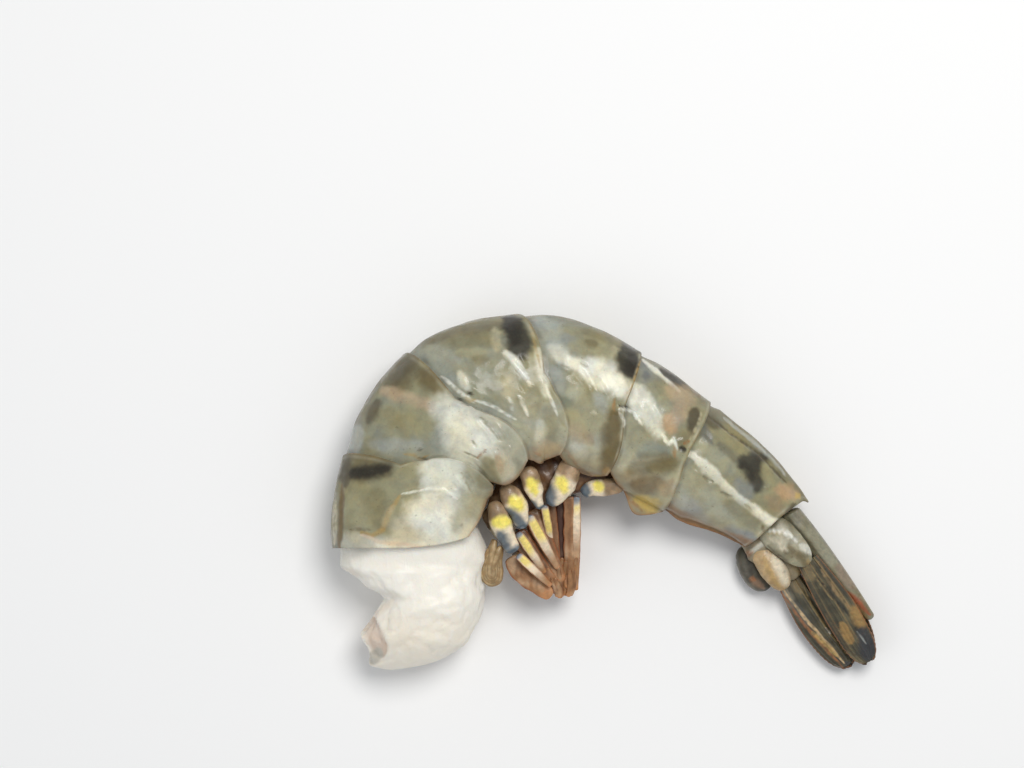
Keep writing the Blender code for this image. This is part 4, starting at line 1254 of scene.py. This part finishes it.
def make_blade(name):
    start, end, half_width, tilt, bow, crown = TAIL_BLADES[name]
    kind, hand = name.split("_")
    start = tail_points(*start)
    end = tail_points(*end)
    side, normal = leaf_sides(start, end, tilt)
    outward = math.copysign(1, crown)

    def formula(v, u):
        middle = start + (end - start) * u[:, None] + side * (bow * np.sin(math.pi * u))[:, None]
        teeth = 0.02 + 0.04 * np.abs(np.sin(70 * u + 6 * v)) * ramp(u, 0.5, 0.8)
        flat = middle + side * (v * half_width * leaf_width(u) * (1 - teeth))[:, None]
        ribs = sum(bell(v - rib, 0.07) for rib in BLADE_RIBS[kind]) * (1 - 0.8 * u)
        hairs = np.sin(v * 26 + 2 * clouds(flat, 4, 33))
        lift = crown * (bell(v, 0.3) - v * v) - 0.12 * outward
        fine = outward * (0.24 * ribs + 0.05 * hairs * ramp(u, 0.2, 0.6))
        points = flat + normal * (lift + fine)[:, None]
        canvas = Canvas(points, TAIL_DARK)
        canvas.blend(TAIL_OLIVE, ramp(clouds(flat, 2.2, 30), -0.3, 0.5))
        canvas.blend(TAIL_BLACK, 0.5 * ramp(hairs, 0.2, 0.9))
        for rib in BLADE_RIBS[kind]:
            canvas.blend(TAIL_GOLD, 0.5 * bell(v - rib, 0.05) * (1 - ramp(u, 0.6, 1)))
        if hand == "left":
            canvas.strokes(BLADE_MARKS[kind])
        canvas.blend(RUST, 0.7 * ramp(np.abs(v), 0.90, 0.99))
        return points, canvas.colour

    return shaped_grid(BLADE_COLUMNS, BLADE_ROWS, formula, Vector(normal))


for name in TAIL_BLADES:
    add_piece(f"blade_{name}", make_blade(name), LIMB, [name], BLADE_WALL)
print("tail blades:", len(TAIL_BLADES))

# %% [markdown]
# ## Limbs
# The joints of the tail, the swimmerets and their blades are soft, rounded limbs. Each is a ball
# drawn out along a smooth line through a few stops, with its own width at every stop.


# %% A limb along a line
def make_limb(stops, widths, paint, flat=1.0, wrinkle=0.1, around=36, rows=60):
    """A limb through 3-D stops. Flat is its height over its width, and paint colours its canvas."""
    stops = np.array(stops, float)
    length = np.linalg.norm(np.diff(stops, axis=0), axis=1).sum()
    closing = min(0.45, np.mean(widths) / length)

    def formula(angle, along):
        t = along * (len(stops) - 1) - 1
        step = 0.02
        ahead = catmull(stops, t + step) - catmull(stops, t - step)
        ahead /= np.linalg.norm(ahead, axis=1, keepdims=True)
        side = np.cross((0, 0, 1), ahead)
        side /= np.linalg.norm(side, axis=1, keepdims=True)
        above = np.cross(ahead, side)
        near = np.minimum(along, 1 - along) / closing
        close = np.sqrt(1 - (1 - np.minimum(near, 1)) ** 2)
        width = catmull(widths, t) * close
        across = side * (width * np.cos(angle))[:, None]
        upward = above * (width * flat * np.sin(angle))[:, None]
        points = catmull(stops, t) + across + upward
        points += (across + upward) * (wrinkle * (clouds(points, 1.3, 40) - 0.3))[:, None]
        canvas = Canvas(points, WHITE[:3])
        paint(canvas, angle, along)
        return points, canvas.colour

    return shaped_ball(around, rows, formula)


def mark_painter(ground, shade, marks):
    """Paint with a mottled ground and strokes."""
    def paint(canvas, angle, along):
        canvas.colour[:] = ground
        canvas.blend(shade, ramp(clouds(canvas.points, 1.6, 41), -0.1, 0.5))
        canvas.strokes(marks)
    return paint


# %% Joints of the fan
UPPER_JOINT_MARKS = {
    "ash start": (((772, 540), (786, 542)), 4, FAWN, 0.6),
    "gold edge": (((768, 534), (785, 532)), 1.6, GOLD, 0.6),
    # Painted highlights on the facet and the crest.
    "painted highlight on the facet": (((801, 545), (814, 554)), 3.8, PALE, 0.85, CRISP),
    "painted highlight on the crest": (((770, 530), (786, 532), (798, 542)), 1.8, GLINT, 0.8),
    "fawn swell": (((778, 544), (788, 550)), 3.4, FAWN, 0.8),
    # Painted shade in the crease and the hollow.
    "brown painted shade in the crease": (((783, 551), (792, 557)), 1.5, BROWN, 0.8),
    "painted shade in the hollow": (((790, 548), (800, 557), (806, 564)), 4.2, BROWN, 0.85),
    "dark rim": (((768, 546), (780, 556), (794, 568)), 1.6, UMBER, 0.7),
    "gold hinge": (((808, 560), (811, 568)), 2.4, TAIL_GOLD, 0.8),
    "olive end": (((790, 560), (800, 568)), 4, STRAW, 0.6),
}
KNOB_MARKS = {
    "cream half": (((776, 554), (782, 570), (786, 582)), 6.4, (0.68, 0.61, 0.47), 0.95),
    "brown fleck": (((784, 572),), 1.2, CHESTNUT, 0.8),
    "gold edge": (((764, 556), (772, 578), (780, 586)), 2.6, (0.44, 0.30, 0.12), 0.7),
    "brown top": (((766, 552), (778, 550)), 2.0, CHESTNUT, 0.8),
}
DARK_LOBE_MARKS = {
    "dark streak": (((748, 556), (752, 576)), 3.0, SOOT, 0.7),
    "tan end": (((752, 580), (764, 588)), 3.6, (0.26, 0.16, 0.10), 0.85),
    "rust spot": (((750, 578), (755, 580)), 2.4, RUST, 0.8),
}
JOINT_WRINKLE = 0.05
# Each joint: stops in the fan's own places, half widths, flatness, and paint.
TAIL_JOINTS = {
    "uropod_base_left": (((-0.6, -1.2, 6.6), (2.4, -0.4, 7.2), (6.0, 0.7, 7.5), (9.2, 1.6, 7.3)),
                         (2.5, 2.9, 2.5, 1.5), 0.34,
                         mark_painter((0.34, 0.32, 0.23), (0.22, 0.20, 0.13), UPPER_JOINT_MARKS)),
    "uropod_knob_left": (((2.6, -4.2, 5.6), (5.0, -4.1, 6.0), (8.0, -3.9, 6.1), (11.0, -3.7, 5.6)),
                         (1.7, 2.2, 2.2, 1.5), 0.62,
                         mark_painter((0.46, 0.33, 0.18), (0.40, 0.27, 0.13), KNOB_MARKS)),
    "uropod_base_right": (((0.2, -2.4, 2.6), (3.4, -2.0, 2.6), (8.2, -1.4, 2.4)),
                          (1.9, 2.1, 1.5), 0.8, mark_painter(MOSS, BROWN, {})),
    "uropod_knob_right": (((1.4, -6.1, 2.6), (4.0, -6.6, 2.7), (7.0, -6.7, 2.6), (9.8, -6.0, 2.4)),
                          (1.5, 2.2, 2.3, 1.5), 0.85,
                          mark_painter((0.075, 0.068, 0.048), (0.13, 0.115, 0.085), DARK_LOBE_MARKS)),
}

for name, (stops, widths, flat, paint) in TAIL_JOINTS.items():
    line = [tail_points(*stop) for stop in stops]
    joint = make_limb(line, widths, paint, flat, JOINT_WRINKLE)
    add_piece(f"joint_{name}", joint, LIMB, [name])
print("tail joints:", len(TAIL_JOINTS))

# %% Skin between the joints
# A low, broad limb closes the gaps between the joints, as their soft skin does in the photo.
JOINT_SKIN = ((-1.6, -2.4, 5.0), (2.4, -2.4, 5.2), (6.4, -1.8, 5.2), (10.4, -1.0, 4.9))
JOINT_SKIN_WIDTHS = (3.4, 4.4, 3.8, 2.0)
JOINT_SKIN_FLAT = 0.42
JOINT_SKIN_WRINKLE = 0.12
JOINT_SKIN_TAN = (0.24, 0.20, 0.13)
JOINT_SKIN_SHADE = (0.15, 0.12, 0.07)
JOINT_SKIN_MARKS = {
    "pale rim": (((750, 552), (764, 543), (776, 536)), 2.6, PALE, 0.7),
    # Painted shade in the crease.
    "painted shade in the crease": (((762, 546), (774, 552), (792, 566)), 2.0, UMBER, 0.8),
    "gold fold": (((786, 560), (800, 572), (806, 580)), 2.4, TAIL_GOLD, 0.7),
    "rust corner": (((744, 556), (752, 552)), 3.0, RUST, 0.6),
}
line = [tail_points(*stop) for stop in JOINT_SKIN]
paint = mark_painter(JOINT_SKIN_TAN, JOINT_SKIN_SHADE, JOINT_SKIN_MARKS)
joint_skin = make_limb(line, JOINT_SKIN_WIDTHS, paint, JOINT_SKIN_FLAT, JOINT_SKIN_WRINKLE)
add_piece("joint_skin", joint_skin, LIMB)
print("half widths of the skin between the joints in mm:", JOINT_SKIN_WIDTHS)

# %% [markdown]
# ## Swimmerets
# Five pairs of swimming legs hang from the belly and are gathered at their tips. Each has a
# stout base with a bright yellow spot in a cream ring and a blue-grey knee, and a narrow blade
# with a yellow and cream stripe.

# %% Where the swimmerets are
# Each swimmeret: its station, knee, heel, tip and its blade's half width.
SWIMMERETS = (
    (0.55, (-16.4, -9.2), (-14.3, -10.4), (-9.0, -15.4), 0.72),
    (1.50, (-14.2, -5.9), (-14.3, -6.8), (-10.0, -13.3), 0.78),
    (2.45, (-11.7, -2.7), (-12.5, -4.1), (-7.8, -12.7), 0.90),
    (3.45, (-8.7, -2.0), (-10.1, -2.3), (-8.9, -9.0), 0.70),
    (4.40, (-4.5, 0.0), (-4.7, -1.4), (-4.8, -16.4), 0.68),
)
SWIMMERET_SPREAD = 0.45
# Each row: its hand, its sign, the height of its first tip, and the shift of its knees and tips.
SWIMMERET_ROWS = (("left", 1, 10.6, (0, 0, 0)), ("right", -1, 5.4, (-0.6, 0.1, 0)))
# The right row's bases are moved behind the left row's, where the photo doesn't show them.
HIDDEN_SHIFT = (1.9, 0.3, 0)
HIDDEN_WIDTHS = (1.5, 1.95, 1.75, 1.35)
BASE_FLAT = 0.7
BASE_WRINKLE = 0.10
KNEE_FALL = 0.28
HEEL_FALL = 0.2
STRIPE_SHARES = (0.95, 1.1, 0.9, 0.55)
STRIPE_FLAT = 0.6
STRIPE_WRINKLE = 0.1
TIP_STACK = 0.9
BELLY_GAP = 0.9
BASE_BROWN = (0.26, 0.175, 0.10)
YELLOW = (0.90, 0.77, 0.14)
STRIPE_YELLOW = (0.84, 0.68, 0.20)
CREAM = (0.84, 0.72, 0.55)
SLATE = (0.085, 0.115, 0.145)
SLATE_PALE = (0.22, 0.25, 0.29)
LEG_TIP = (0.56, 0.26, 0.11)
LEG_EDGE = (0.33, 0.09, 0.03)
LEG_PALE = (0.58, 0.40, 0.25)
# The line of each near base in the picture, and its half widths.
BASES = (
    (((493, 500), (500, 520), (507, 537), (515, 551)), (7, 11, 9, 8)),
    (((503, 484), (515, 502), (520, 515), (522, 528)), (8, 12, 9, 6)),
    (((526, 466), (533, 486), (537, 499), (541, 508)), (9, 10, 6, 4)),
    (((572, 458), (565, 479), (556, 494), (548, 504)), (10, 13, 11, 6)),
    (((624, 484), (604, 487), (591, 488), (582, 494)), (8, 9, 8, 6)),
)
# How far down from the root to the knee each stop of a near base lies.
BASE_FALL = (0, 0.4, 0.8, 1)
# The yellow spot and the slate knee of each, with half widths, and the end of the stripe's yellow.
SPOTS = (
    (((496, 523), (508, 521)), 6.5), (((514, 500), (520, 507)), 7.5), (((531, 482), (535, 491)), 5.5),
    (((561, 480), (564, 489)), 6.5), (((596, 485), (600, 489)), 5.0),
)
KNEES = (
    (((500, 536), (506, 546)), 7.5), (((506, 511), (522, 524)), 6.0), (((530, 502), (536, 508)), 4.5),
    (((547, 484), (550, 500)), 7.0), (((580, 484), (586, 492)), 6.5),
)
YELLOW_END = (0.34, 0.44, 0.42, 0.60, 0.18)


def base_painter(number, hand):
    """A brown root, a cream ring round a yellow spot, and a slate knee."""
    def paint(canvas, angle, along):
        canvas.colour[:] = BASE_BROWN
        canvas.blend(LEG_PALE, 0.5 * ramp(canvas.drift[0], 0.0, 0.5))
        canvas.blend(CREAM, 0.95 * ramp(along + 0.08 * canvas.drift[0], 0.26, 0.36))
        if hand == "left":
            stops, width = SPOTS[number - 1]
            canvas.stroke(stops, width, YELLOW, 0.95)
            stops, width = KNEES[number - 1]
            canvas.stroke(stops, width, SLATE, 0.95)
        else:
            ring = np.hypot((along - 0.52) / 0.20, (angle - math.pi / 2) / 0.8)
            canvas.blend(YELLOW, 1 - ramp(ring, 0.8, 1.1))
        canvas.blend(SLATE, ramp(along + 0.04 * canvas.drift[1], 0.80, 0.90))
        canvas.blend(BASE_BROWN, 0.5 * ramp(np.abs(np.cos(angle)) + 0.1 * canvas.drift[2], 0.88, 0.99))
        canvas.blend(SLATE_PALE, 0.6 * ramp(canvas.drift[2], 0.1, 0.5) * ramp(along, 0.75, 0.85))
    return paint


def stripe_painter(number):
    """A slate heel, a cream stripe that begins yellow, and a red-brown tip."""
    def paint(canvas, angle, along):
        canvas.colour[:] = LEG_BROWN
        canvas.blend(LEG_PALE, 0.6 * ramp(canvas.drift[0], -0.2, 0.5))
        stripe = ramp(np.sin(angle + 0.4) + 0.2 * canvas.drift[2], 0.05, 0.35)
        last = YELLOW_END[number - 1]
        canvas.blend(CREAM, 0.9 * stripe * (1 - ramp(along, last + 0.05, last + 0.45)))
        pale_from = ramp(along + 0.08 * canvas.drift[0], last - 0.08, last + 0.08)
        heart = ramp(np.sin(angle + 0.2), 0.45, 0.8) * ramp(along, 0.08, 0.16)
        canvas.blend(STRIPE_YELLOW, 0.95 * heart * (1 - pale_from))
        canvas.blend(SLATE_PALE, 0.95 * (1 - ramp(along + 0.05 * canvas.drift[1], 0.05, 0.13)))
        canvas.blend(SLATE, 0.6 * (1 - ramp(along + 0.05 * canvas.drift[0], 0.0, 0.07)))
        canvas.blend(LEG_EDGE, 0.7 * bell(np.abs(np.cos(angle)) - 0.92, 0.12))
        canvas.blend(LEG_TIP, 0.8 * ramp(along, 0.82, 1.0))
    return paint


def belly_point(t, spread):
    """A point just off the belly of the flesh, spread towards the left flank, or right if negative."""
    up = -BELLY_SHARE * catmull(HALF_DEPTH, t) - BELLY_GAP
    return place(np.array(t), up, spread * catmull(HALF_WIDTH, t))


def make_leg(number, hand, sign, first_tip, shift):
    station, knee, heel, tip, half_width = SWIMMERETS[number - 1]
    root = belly_point(station, sign * SWIMMERET_SPREAD)
    level = first_tip - TIP_STACK * (number - 1)
    elbow = np.array((*knee, root[2] + KNEE_FALL * (level - root[2])))
    start = np.array((*heel, elbow[2] + HEEL_FALL * (level - elbow[2])))
    end = np.array((*tip, level))
    shift = np.array(shift)
    elbow = elbow + shift
    name = f"swimmeret_{number}_{hand}"
    if hand == "left":
        places, widths = BASES[number - 1]
        falls = [root[2] + (elbow[2] - root[2]) * fall for fall in BASE_FALL]
        stops = [(*spot(*here), fall) for here, fall in zip(places, falls)]
        widths = [width / PHOTO_SCALE for width in widths]
    else:
        root = root + np.array(HIDDEN_SHIFT)
        elbow = elbow + np.array(HIDDEN_SHIFT)
        stops = [root, root * 0.6 + elbow * 0.4, root * 0.25 + elbow * 0.75, elbow * 1.08 - root * 0.08]
        widths = HIDDEN_WIDTHS
    base = make_limb(stops, widths, base_painter(number, hand), BASE_FLAT, BASE_WRINKLE)
    add_piece(f"leg_{number}_{hand}_base", base, LIMB, [f"{name}_base"])
    start = start + shift
    end = end + shift
    stops = [start * 1.06 - end * 0.06, start * 0.7 + end * 0.3, start * 0.3 + end * 0.7, end]
    widths = [half_width * share for share in STRIPE_SHARES]
    blade = make_limb(stops, widths, stripe_painter(number), STRIPE_FLAT, STRIPE_WRINKLE)
    add_piece(f"leg_{number}_{hand}_blade", blade, LIMB, [f"{name}_blade"])


for number in range(1, 6):
    for row in SWIMMERET_ROWS:
        make_leg(number, *row)
print("swimmerets:", 2 * len(SWIMMERETS))

# %% [markdown]
# Behind the striped blades are broader brown ones, and their tips meet in a reddish tuft of
# short hairs. The solids leave these thin blades out, so they are placed here by the photo.

# %% Brown blades and the tuft
# Each brown blade: places in the picture, heights, half width in picture points, and darkness.
BROWN_BLADES = (
    (((511, 556), (522, 575), (552, 596)), (10.2, 9.6, 9.0), 9.0, 0.1),
    (((518, 530), (531, 554), (552, 584)), (9.8, 9.2, 8.4), 9.5, 0.5),
    (((530, 510), (545, 546), (560, 584)), (9.0, 8.4, 7.6), 11.0, 0.3),
    (((551, 500), (554, 535), (558, 584)), (8.6, 8.0, 7.2), 5.0, 0.4),
    (((561, 494), (561, 535), (562, 582)), (8.0, 7.4, 6.8), 6.0, 1.0),
    (((569, 496), (570, 540), (569, 590)), (9.4, 8.2, 7.2), 6.5, 0.2),
)
BROWN_SHARES = (0.85, 1.0, 0.8)
BROWN_FLAT = 0.35
BROWN_WRINKLE = 0.12
TUFT_HAIRS = 11
TUFT_TOP = ((540, 576), (577, 560))
TUFT_FOOT = ((552, 592), (572, 594))
TUFT_SAG = 5.0
TUFT_HEIGHTS = (9.6, 8.2)
TUFT_WIDTH = 3.4
TUFT_SHARES = (0.5, 1.0, 0.75)
TUFT_SWAY = 2.2
TUFT_BEAT = 5
TUFT_RAGGED_TOP = 4
TUFT_RAGGED_FOOT = 0.6
TUFT_DROP = 0.6
TUFT_DARK = 0.2
TUFT_STEP = 0.1
TUFT_LIFT = 0.2
TUFT_FLAT = 0.6
TUFT_WRINKLE = 0.15
TUFT_AROUND = 20
TUFT_ROWS = 40
DEEP_BROWN = (0.060, 0.018, 0.007)


def brown_painter(dark):
    def paint(canvas, angle, along):
        canvas.colour[:] = LEG_BROWN
        canvas.blend(DEEP_BROWN, dark)
        streaks = clouds(canvas.points * (1, 0.22, 1), 0.7, 44)
        canvas.blend(DEEP_BROWN, 0.35 * ramp(-streaks, 0.0, 0.5))
        pale = ramp(canvas.drift[0] + 0.6 * streaks, 0.0, 0.6)
        canvas.blend(LEG_PALE, (0.7 - 0.6 * dark) * pale)
        canvas.blend(LEG_EDGE, 0.6 * bell(np.abs(np.cos(angle)) - 0.94, 0.10))
        canvas.blend(LEG_TIP, 0.8 * ramp(along + 0.15 * canvas.drift[1], 0.70, 1.0) * (1 - 0.5 * dark))
    return paint


for number, (places, heights, width, dark) in enumerate(BROWN_BLADES, 1):
    stops = [(*spot(*here), height) for here, height in zip(places, heights)]
    widths = [width / PHOTO_SCALE * share for share in BROWN_SHARES]
    blade = make_limb(stops, widths, brown_painter(dark), BROWN_FLAT, BROWN_WRINKLE)
    add_piece(f"brown_blade_{number}", blade, LIMB)

for number in range(TUFT_HAIRS):
    share = number / (TUFT_HAIRS - 1)
    sway = TUFT_SWAY * math.sin(TUFT_BEAT * number)
    top = [a + (b - a) * share for a, b in zip(*TUFT_TOP)]
    foot = [a + (b - a) * share for a, b in zip(*TUFT_FOOT)]
    top[1] += TUFT_RAGGED_TOP * sway
    foot[1] += TUFT_SAG * math.sin(math.pi * share) + TUFT_RAGGED_FOOT * sway
    middle = [(a + b) / 2 + sway for a, b in zip(top, foot)]
    levels = (*TUFT_HEIGHTS, TUFT_HEIGHTS[1] - TUFT_DROP)
    heights = [height - TUFT_STEP * number + TUFT_LIFT * sway for height in levels]
    stops = [(*spot(*here), height) for here, height in zip((top, middle, foot), heights)]
    widths = [TUFT_WIDTH / PHOTO_SCALE * part for part in TUFT_SHARES]
    paint = brown_painter(TUFT_DARK * (number % 4 == 1))
    hair = make_limb(stops, widths, paint, TUFT_FLAT, TUFT_WRINKLE, TUFT_AROUND, TUFT_ROWS)
    add_piece(f"tuft_{number + 1}", hair, LIMB)
print("brown blades:", len(BROWN_BLADES), "tuft hairs:", TUFT_HAIRS)

# %% Skin of the belly
# A broad brown limb under the bases closes the gaps between them and the plates.
BELLY_SKIN = ((496, 528), (508, 504), (528, 486), (554, 474), (588, 475), (620, 480))
BELLY_SKIN_HEIGHT = 8.6
BELLY_SKIN_WIDTHS = (1.8, 3.4, 3.8, 3.8, 3.0, 1.4)
BELLY_SKIN_FLAT = 0.5
BELLY_SKIN_WRINKLE = 0.12
BELLY_SKIN_ROWS = 120
BELLY_BROWN = (0.15, 0.075, 0.032)


def belly_paint(canvas, angle, along):
    canvas.colour[:] = BELLY_BROWN
    canvas.blend(LEG_PALE, 0.4 * ramp(clouds(canvas.points, 1.4, 42), 0.1, 0.6))
    canvas.blend(DEEP_BROWN, 0.8 * ramp(clouds(canvas.points, 1.1, 43), 0.15, 0.5))


stops = [(*spot(*here), BELLY_SKIN_HEIGHT) for here in BELLY_SKIN]
skin = make_limb(stops, BELLY_SKIN_WIDTHS, belly_paint, BELLY_SKIN_FLAT, BELLY_SKIN_WRINKLE,
                 rows=BELLY_SKIN_ROWS)
add_piece("belly_skin", skin, LIMB)
print("half widths of the belly's skin in mm:", BELLY_SKIN_WIDTHS)

# %% [markdown]
# ## The soft strands
# A bundle of tan strands hangs in a loop beside the first swimmeret. Nested loops of the same
# line, each smaller than the last, make the bundle.

# %% Strands
FILAMENT = ((-18.9, -9.2), (-19.4, -10.6), (-19.8, -12.3), (-19.7, -13.8), (-19.0, -14.7),
            (-18.2, -14.3), (-18.0, -13.0), (-18.1, -11.6))
FILAMENT_Z = 11.5
STRAND_TOP = (-18.3, -7.6)
STRAND_SIZES = (1.12, 0.82, 0.52, 0.22)
STRAND_SPREAD = 1.4
STRAND_WIDTH = 0.60
STRAND_STEP = 0.25
STRAND_WRINKLE = 0.1
STRAND_AROUND = 16
STRAND_ROWS = 120
STRAND_TAN = (0.29, 0.19, 0.09)
STRAND_HIGHLIGHT = (0.46, 0.34, 0.19)


def strand_paint(canvas, angle, along):
    canvas.colour[:] = STRAND_TAN
    # A lighter streak along the top of each strand is a painted highlight.
    canvas.blend(STRAND_HIGHLIGHT, 0.8 * ramp(np.sin(angle) + 0.5 * canvas.drift[2], 0.75, 1.1))


centre = np.mean(FILAMENT, axis=0)
for number, size in enumerate(STRAND_SIZES, 1):
    loop = [centre + (np.array(stop) - centre) * (STRAND_SPREAD * size, 0.4 + 0.6 * size)
            for stop in FILAMENT]
    line = [STRAND_TOP, *loop, (STRAND_TOP[0] + 0.9, STRAND_TOP[1] - 1.0)]
    stops = [(x, y, FILAMENT_Z + STRAND_STEP * number) for x, y in line]
    widths = [STRAND_WIDTH] * len(stops)
    strand = make_limb(stops, widths, strand_paint, 1.0, STRAND_WRINKLE, STRAND_AROUND, STRAND_ROWS)
    add_piece(f"strand_{number}", strand, LIMB, ["filament"] if number == 1 else ())
print("strands:", len(STRAND_SIZES))
